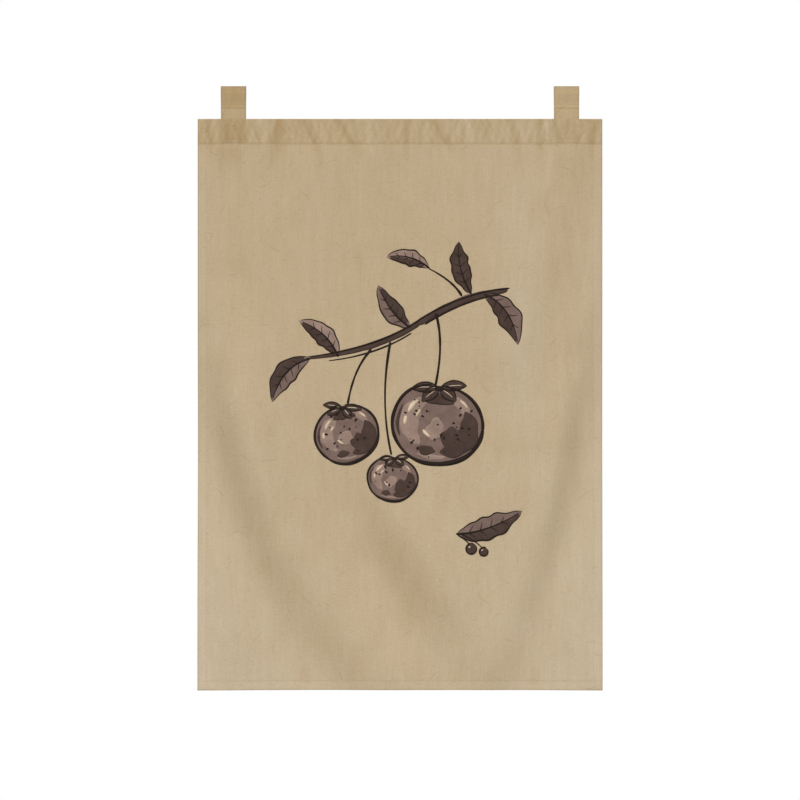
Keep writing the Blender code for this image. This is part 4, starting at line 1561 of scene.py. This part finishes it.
def build_plain_weave(name):
    """Plain weave. In each cell of the thread grid the warp or the weft lies on top, turn about.
    The upper thread's height is the cosine across it times a mix of 1 and the cosine along it."""
    group, given, made = new_group(name, ("Height", "Gap"), Pitch=0.001)
    wander = noise(group, given["Vector"], WEAVE_WANDER_SCALE, 1.0)["Color"]
    moved = vector_calc(group, "SUBTRACT", wander, (0.5, 0.5, 0.5))
    moved = vector_calc(group, "MULTIPLY", moved, (WEAVE_WANDER, WEAVE_WANDER, 0.0))
    pitches = put(group, "ShaderNodeCombineXYZ", {0: given["Pitch"], 1: given["Pitch"], 2: 1.0})
    moved = vector_calc(group, "ADD", given["Vector"], moved)
    part = axes(group, vector_calc(group, "DIVIDE", moved, pitches.outputs[0]))
    odd = calc(group, "ADD", calc(group, "FLOOR", part["X"]), calc(group, "FLOOR", part["Y"]))
    odd = calc(group, "FLOORED_MODULO", odd, 2.0)
    round_x, round_y = (
        calc(group, "COSINE", calc(group, "MULTIPLY", calc(
            group, "SUBTRACT", calc(group, "FRACT", part[axis]), 0.5), np.pi)) for axis in "XY")
    warp, weft = (
        calc(group, "MULTIPLY", across, calc(
            group, "MULTIPLY_ADD", along, WEAVE_CROWN, 1 - WEAVE_CROWN))
        for across, along in ((round_x, round_y), (round_y, round_x)))
    height = put(group, "ShaderNodeMix", {0: odd, 2: warp, 3: weft}).outputs[0]
    gap = between(group, height, *WEAVE_GAP, 1.0, 0.0)
    set_inputs(group, made, {"Height": height, "Gap": gap})
    return group


def build_uneven_threads(name):
    """Slubs. Noise that is stretched far along the weft, and less so along the warp, gives single
    threads that are thicker or paler for a stretch."""
    group, given, made = new_group(name, ("Weft", "Warp", "Thick"))
    weft, warp = (
        noise(group, given["Vector"], scale, SLUB_DETAIL, Roughness=SLUB_ROUGHNESS)["Fac"]
        for scale in (WEFT_SCALE, WARP_SCALE))
    thick = between(group, weft, *SLUB_LIMITS)
    set_inputs(group, made, {"Weft": weft, "Warp": warp, "Thick": thick})
    return group


def build_stray_fibres(name):
    """Loose fibres caught in the weave. Each cell of a scattered pattern holds one arc: in the
    cell's own turned coordinates its mask is 1 where the distance from y = bend times x squared
    is under the width and x is within the length."""
    group, given, made = new_group(name, ("Mask",), Cell=0.02, Length=0.006, Width=0.0006,
                                   Bend=80.0, Share=0.5)
    scale = calc(group, "DIVIDE", 1.0, given["Cell"])
    cells = put(group, "ShaderNodeTexVoronoi", {"Vector": given["Vector"], "Scale": scale},
                voronoi_dimensions="2D").outputs
    chance = put(group, "ShaderNodeSeparateColor", {0: cells["Color"]}).outputs
    local = vector_calc(group, "SUBTRACT", given["Vector"], cells["Position"])
    turn = calc(group, "MULTIPLY", calc(group, "SUBTRACT", chance[0], 0.5), FIBRE_TURN)
    place = axes(group, put(group, "ShaderNodeVectorRotate", {"Vector": local, "Angle": turn},
                            rotation_type="Z_AXIS").outputs[0])
    bend = calc(group, "MULTIPLY", calc(group, "SUBTRACT", chance[1], 0.5), given["Bend"])
    arc = calc(group, "MULTIPLY", bend, calc(group, "MULTIPLY", place["X"], place["X"]))
    off = calc(group, "ABSOLUTE", calc(group, "SUBTRACT", place["Y"], arc))
    core = calc(group, "MULTIPLY", given["Width"], FIBRE_CORE)
    thin = between(group, off, core, given["Width"], 1.0, 0.0)
    reach = calc(group, "MULTIPLY_ADD", chance[2], 1 - FIBRE_LEAST, FIBRE_LEAST)
    reach = calc(group, "MULTIPLY", given["Length"], reach)
    ends = between(group, calc(group, "ABSOLUTE", place["X"]),
                   calc(group, "MULTIPLY", reach, FIBRE_ENDS), reach, 1.0, 0.0)
    chance_kept = calc(group, "FRACT", calc(group, "MULTIPLY", chance[1], FIBRE_SHUFFLE))
    kept = calc(group, "LESS_THAN", chance_kept, given["Share"])
    mask = calc(group, "MULTIPLY", calc(group, "MULTIPLY", thin, ends), kept)
    set_inputs(group, made, {"Mask": mask})
    return group


def build_cloth_mottle(name):
    """Broad and fine unevenness of unbleached cloth, and soft bands along the warp: three scales
    of noise, each centred on 0."""
    group, given, made = new_group(name, MOTTLES)
    for output, mottle in MOTTLES.items():
        value = noise(group, given["Vector"], mottle.scale, mottle.detail)["Fac"]
        set_inputs(group, made, {output: calc(group, "SUBTRACT", value, 0.5)})
    return group


def new_material(name):
    """A material with its tree and its shader."""
    material = bpy.data.materials.new(name)
    material.use_nodes = True
    tree = material.node_tree
    return material, tree, tree.nodes["Principled BSDF"]


def woven(tree, pitch):
    """Weave, slubs and mottle over the cloth's cut as groups' outputs, with the normal that
    weave and slubs give together."""
    vector = cut_place(tree)
    weave = use_group(tree, "Plain Weave", build_plain_weave, Vector=vector, Pitch=pitch)
    uneven_threads = use_group(tree, "Uneven Threads", build_uneven_threads, Vector=vector)
    mottle = use_group(tree, "Cloth Mottle", build_cloth_mottle, Vector=vector)
    height = calc(tree, "MULTIPLY_ADD", uneven_threads["Thick"], SLUB_HEIGHT, weave["Height"])
    height = calc(tree, "MULTIPLY_ADD", uneven_threads["Warp"], WARP_HEIGHT, height)
    bump = put(tree, "ShaderNodeBump", {"Height": height, **WEAVE_BUMP})
    return vector, weave, uneven_threads, mottle, bump.outputs["Normal"]


def cloth_material(name, sizes):
    """Unbleached cotton-linen: weave, slubs, stray fibres and mottle over the cloth's cut, with
    painted shade in the gaps between the threads, all times the tone that its mesh carries, and
    with the painted light and shade and the cool tint that the mesh carries too."""
    material, tree, shader = new_material(name)
    vector, weave, threads, mottle, normal = woven(tree, sizes.thread_pitch)
    main, dark, pale = (
        (*value, 1.0) for value in (sizes.thread, sizes.dark_thread, sizes.pale_thread))
    base = mixed(tree, between(tree, threads["Weft"], *DARK_WEFT), main, dark)
    base = mixed(tree, calc(tree, "MULTIPLY", threads["Thick"], DARK_SLUB), base, dark)
    base = mixed(tree, between(tree, threads["Warp"], *PALE_WARP), base, pale)
    base = mixed(tree, between(tree, threads["Warp"], *DARK_WARP), base, dark)
    # Painted shade in the gaps between the threads
    base = mixed(tree, calc(tree, "MULTIPLY", weave["Gap"], GAP_SHADE), base, dark)
    fibre = (*np.multiply(FIBRE_TONES, dark[:3]), 1.0)
    for inputs, strength in FIBRES:
        stray = use_group(tree, "Stray Fibres", build_stray_fibres, Vector=vector, **inputs)
        base = mixed(tree, calc(tree, "MULTIPLY", stray["Mask"], strength), base, fibre)
    tone = carried(tree, "tone")
    for output, kind in MOTTLES.items():
        change = calc(tree, "MULTIPLY_ADD", mottle[output], kind.tone, 1.0)
        tone = calc(tree, "MULTIPLY", tone, change)
    green, blue = (calc(tree, "POWER", tone, power) for power in TONE_POWERS)
    tint = put(tree, "ShaderNodeCombineColor", {0: tone, 1: green, 2: blue}).outputs[0]
    # The cool tint whitens the cloth where light is painted on and at the painted shade of its
    # edges
    base = mixed(tree, carried(tree, "bleach"), base, COOL_TINT_COLOUR, "MULTIPLY")
    base = mixed(tree, 1.0, base, tint, "MULTIPLY")
    # Painted light on the tabs' necks and painted shade round their crests
    painted_shift = vector_calc(tree, "MULTIPLY", base, carried(tree, "wear"))
    rough = calc(tree, "MULTIPLY_ADD", threads["Weft"], ROUGHNESS_SPREAD, CLOTH_ROUGHNESS)
    set_inputs(tree, shader, {"Base Color": vector_calc(tree, "ADD", base, painted_shift), "Normal": normal,
                              "Roughness": rough, "Specular IOR Level": CLOTH_SHINE})
    return material


def ink_material(name, ink, sizes):
    """Ink printed into the weave: a matt wash that pools unevenly, thins out over the gaps
    between the threads and skips a few of the dry ones."""
    material, tree, shader = new_material(name)
    vector, weave, threads, mottle, normal = woven(tree, sizes.thread_pitch)
    pool = put(tree, "ShaderNodeTexNoise", {"Vector": vector, **INK_POOL}).outputs["Fac"]
    thin = (min(1.0, INK_THIN * part + INK_THIN_LIFT) for part in ink)
    base = mixed(tree, between(tree, pool, *INK_POOL_LIMITS), (*ink, 1.0), (*thin, 1.0))
    cloth = (*sizes.dark_thread, 1.0)
    base = mixed(tree, calc(tree, "MULTIPLY", weave["Gap"], INK_GAP), base, cloth)
    base = mixed(tree, between(tree, threads["Weft"], *INK_SKIPPED), base, cloth)
    tone = calc(tree, "MULTIPLY_ADD", mottle["Fine"], INK_TONE, 1.0)
    tint = put(tree, "ShaderNodeCombineColor", {0: tone, 1: tone, 2: tone}).outputs[0]
    rough = calc(tree, "MULTIPLY_ADD", threads["Weft"], ROUGHNESS_SPREAD, INK_ROUGHNESS)
    set_inputs(tree, shader, {"Base Color": mixed(tree, 1.0, base, tint, "MULTIPLY"),
                              "Normal": normal, "Roughness": rough,
                              "Specular IOR Level": INK_SHINE})
    return material


def thread_material(name, thread):
    """Twisted sewing thread: a slanting wave round each stitch, in its own UV map."""
    material, tree, shader = new_material(name)
    place = axes(tree, cut_place(tree))
    twist = calc(tree, "ADD", calc(tree, "MULTIPLY", place["X"], 2 * np.pi / TWIST_LENGTH),
                 calc(tree, "MULTIPLY", place["Y"], 4 * np.pi))
    ply = calc(tree, "MULTIPLY_ADD", calc(tree, "SINE", twist), 0.5, 0.5)
    # Painted shade in the low valleys of the twist
    dark = (*(TWIST_VALLEY_SHADE * part for part in thread), 1.0)
    bump = put(tree, "ShaderNodeBump", {"Height": ply, **PLY_BUMP})
    set_inputs(tree, shader, {"Base Color": mixed(tree, ply, dark, (*thread, 1.0)),
                              "Normal": bump.outputs["Normal"], "Roughness": THREAD_ROUGHNESS,
                              "Specular IOR Level": THREAD_SHINE})
    return material


class DeclareCloth(bpy.types.Operator):
    """Read the cloth's cut UV map back from its mesh"""

    bl_idname = "noren.declare_cloth"
    bl_label = "Declare Cloth"

    def execute(self, context):
        piece = bpy.data.objects["curtain_cloth"]
        cut = np.empty(len(piece.data.loops) * 2, dtype=np.float32)
        piece.data.uv_layers["cut"].data.foreach_get("uv", cut)
        return {"FINISHED"}


class SetStage(bpy.types.Operator):
    """Set the pale floor, the soft lights and the camera straight before the curtain"""

    bl_idname = "noren.set_stage"
    bl_label = "Set Stage"

    def execute(self, context):
        scene = context.scene
        make_floor(scene.noren_stage)
        make_key_light(scene.noren_stage)
        make_back_light(scene.noren_stage.back)
        make_surroundings(scene, scene.noren_stage.fill)
        make_camera(scene)
        scene.view_settings.view_transform = "Standard"
        return {"FINISHED"}


def make_floor(stage):
    """A round floor: a disc as wide as its radius says, with soft grey spots."""
    x, y = disc(FLOOR_LINES)
    places = np.stack((x, -y, -np.ones(x.shape)), axis=-1)
    places *= (stage.floor_radius, stage.floor_radius, stage.floor_drop)
    material, tree, shader = new_material("pale floor")
    vector = put(tree, "ShaderNodeTexCoord").outputs["Object"]
    spots = put(tree, "ShaderNodeTexNoise", {"Vector": vector, **FLOOR_SPOTS}).outputs["Fac"]
    set_inputs(tree, shader, {"Base Color": mixed(tree, spots, *FLOOR_GREYS),
                              "Roughness": FLOOR_ROUGHNESS})
    floor = add_mesh("studio_floor", places, [grid_faces(*x.shape)], material)


def make_key_light(stage):
    """A square soft light that looks at the middle of the cloth from the key's height and side."""
    light = bpy.data.lights.new("key light", "AREA")
    light.energy = stage.key
    light.size = stage.key_size
    flat = stage.key_away * np.cos(stage.key_height)
    location = (flat * np.sin(stage.key_side), -flat * np.cos(stage.key_side),
                HEADING_TOP - AIM_DOWN + stage.key_away * np.sin(stage.key_height))
    add_object("key light", light, location, (np.pi / 2 - stage.key_height, 0.0, stage.key_side))


def make_back_light(strength):
    """A soft, even light that shines down from behind."""
    light = bpy.data.lights.new("back light", "SUN")
    light.energy = strength
    light.angle = BACK_SOFTNESS
    add_object("back light", light, turn=(BACK_TILT, 0.0, np.pi))


def make_surroundings(scene, fill):
    """Even light from all around, and a white ground where the camera looks past the curtain."""
    world = bpy.data.worlds.new("studio")
    world.use_nodes = True
    scene.world = world
    tree = world.node_tree
    tree.nodes.clear()
    even = put(tree, "ShaderNodeBackground", {"Color": FILL_COLOUR, "Strength": fill})
    white = put(tree, "ShaderNodeBackground", {"Color": GROUND_COLOUR, "Strength": 1.0})
    seen = put(tree, "ShaderNodeLightPath").outputs["Is Camera Ray"]
    mix = put(tree, "ShaderNodeMixShader", {0: seen, 1: even.outputs[0], 2: white.outputs[0]})
    put(tree, "ShaderNodeOutputWorld", {"Surface": mix.outputs[0]})


def make_camera(scene):
    """A long lens, straight before the curtain and level with the middle of the picture."""
    lens = bpy.data.cameras.new("camera")
    lens.lens = LENS_MM
    lens.sensor_width = SENSOR_MM
    away = FRAME_WIDTH * LENS_MM / SENSOR_MM
    location = (0.0, CLOTH_FRONT - away, HEADING_TOP - AIM_DOWN)
    scene.camera = add_object("camera", lens, location, (np.pi / 2, 0.0, 0.0))


class NorenPanel(bpy.types.Panel):
    """Lists the steps that dress the curtain"""

    bl_idname = "VIEW3D_PT_noren"
    bl_label = "Noren Curtain"
    bl_space_type = "VIEW_3D"
    bl_region_type = "UI"
    bl_category = "Noren"

    def draw(self, context):
        for step in STEPS:
            self.layout.operator(step.bl_idname)
        for name in SETTINGS:
            box = self.layout.box()
            group = getattr(context.scene, name)
            for key in group.__annotations__:
                box.prop(group, key)


STEPS = (MakeCloth, MakeTabs, SewSeams, PrintFront, DeclareCloth, SetStage)
SETTINGS = {
    "noren_cloth": NorenClothSettings,
    "noren_tabs": NorenTabSettings,
    "noren_sewing": NorenSewingSettings,
    "noren_print": NorenPrintSettings,
    "noren_stage": NorenStageSettings,
}


def register():
    for group in (*SETTINGS.values(), *STEPS, NorenPanel):
        bpy.utils.register_class(group)
    for name, group in SETTINGS.items():
        setattr(bpy.types.Scene, name, PointerProperty(type=group))


def unregister():
    for name in SETTINGS:
        delattr(bpy.types.Scene, name)
    for group in (NorenPanel, *reversed(STEPS), *reversed(SETTINGS.values())):
        bpy.utils.unregister_class(group)


def main():
    """Dress the curtain step by step."""
    register()
    bpy.ops.noren.make_cloth()
    bpy.ops.noren.make_tabs()
    bpy.ops.noren.sew_seams()
    bpy.ops.noren.print_front()
    bpy.ops.noren.declare_cloth()
    bpy.ops.noren.set_stage()
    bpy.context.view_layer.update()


if __name__ == "__main__":
    main()
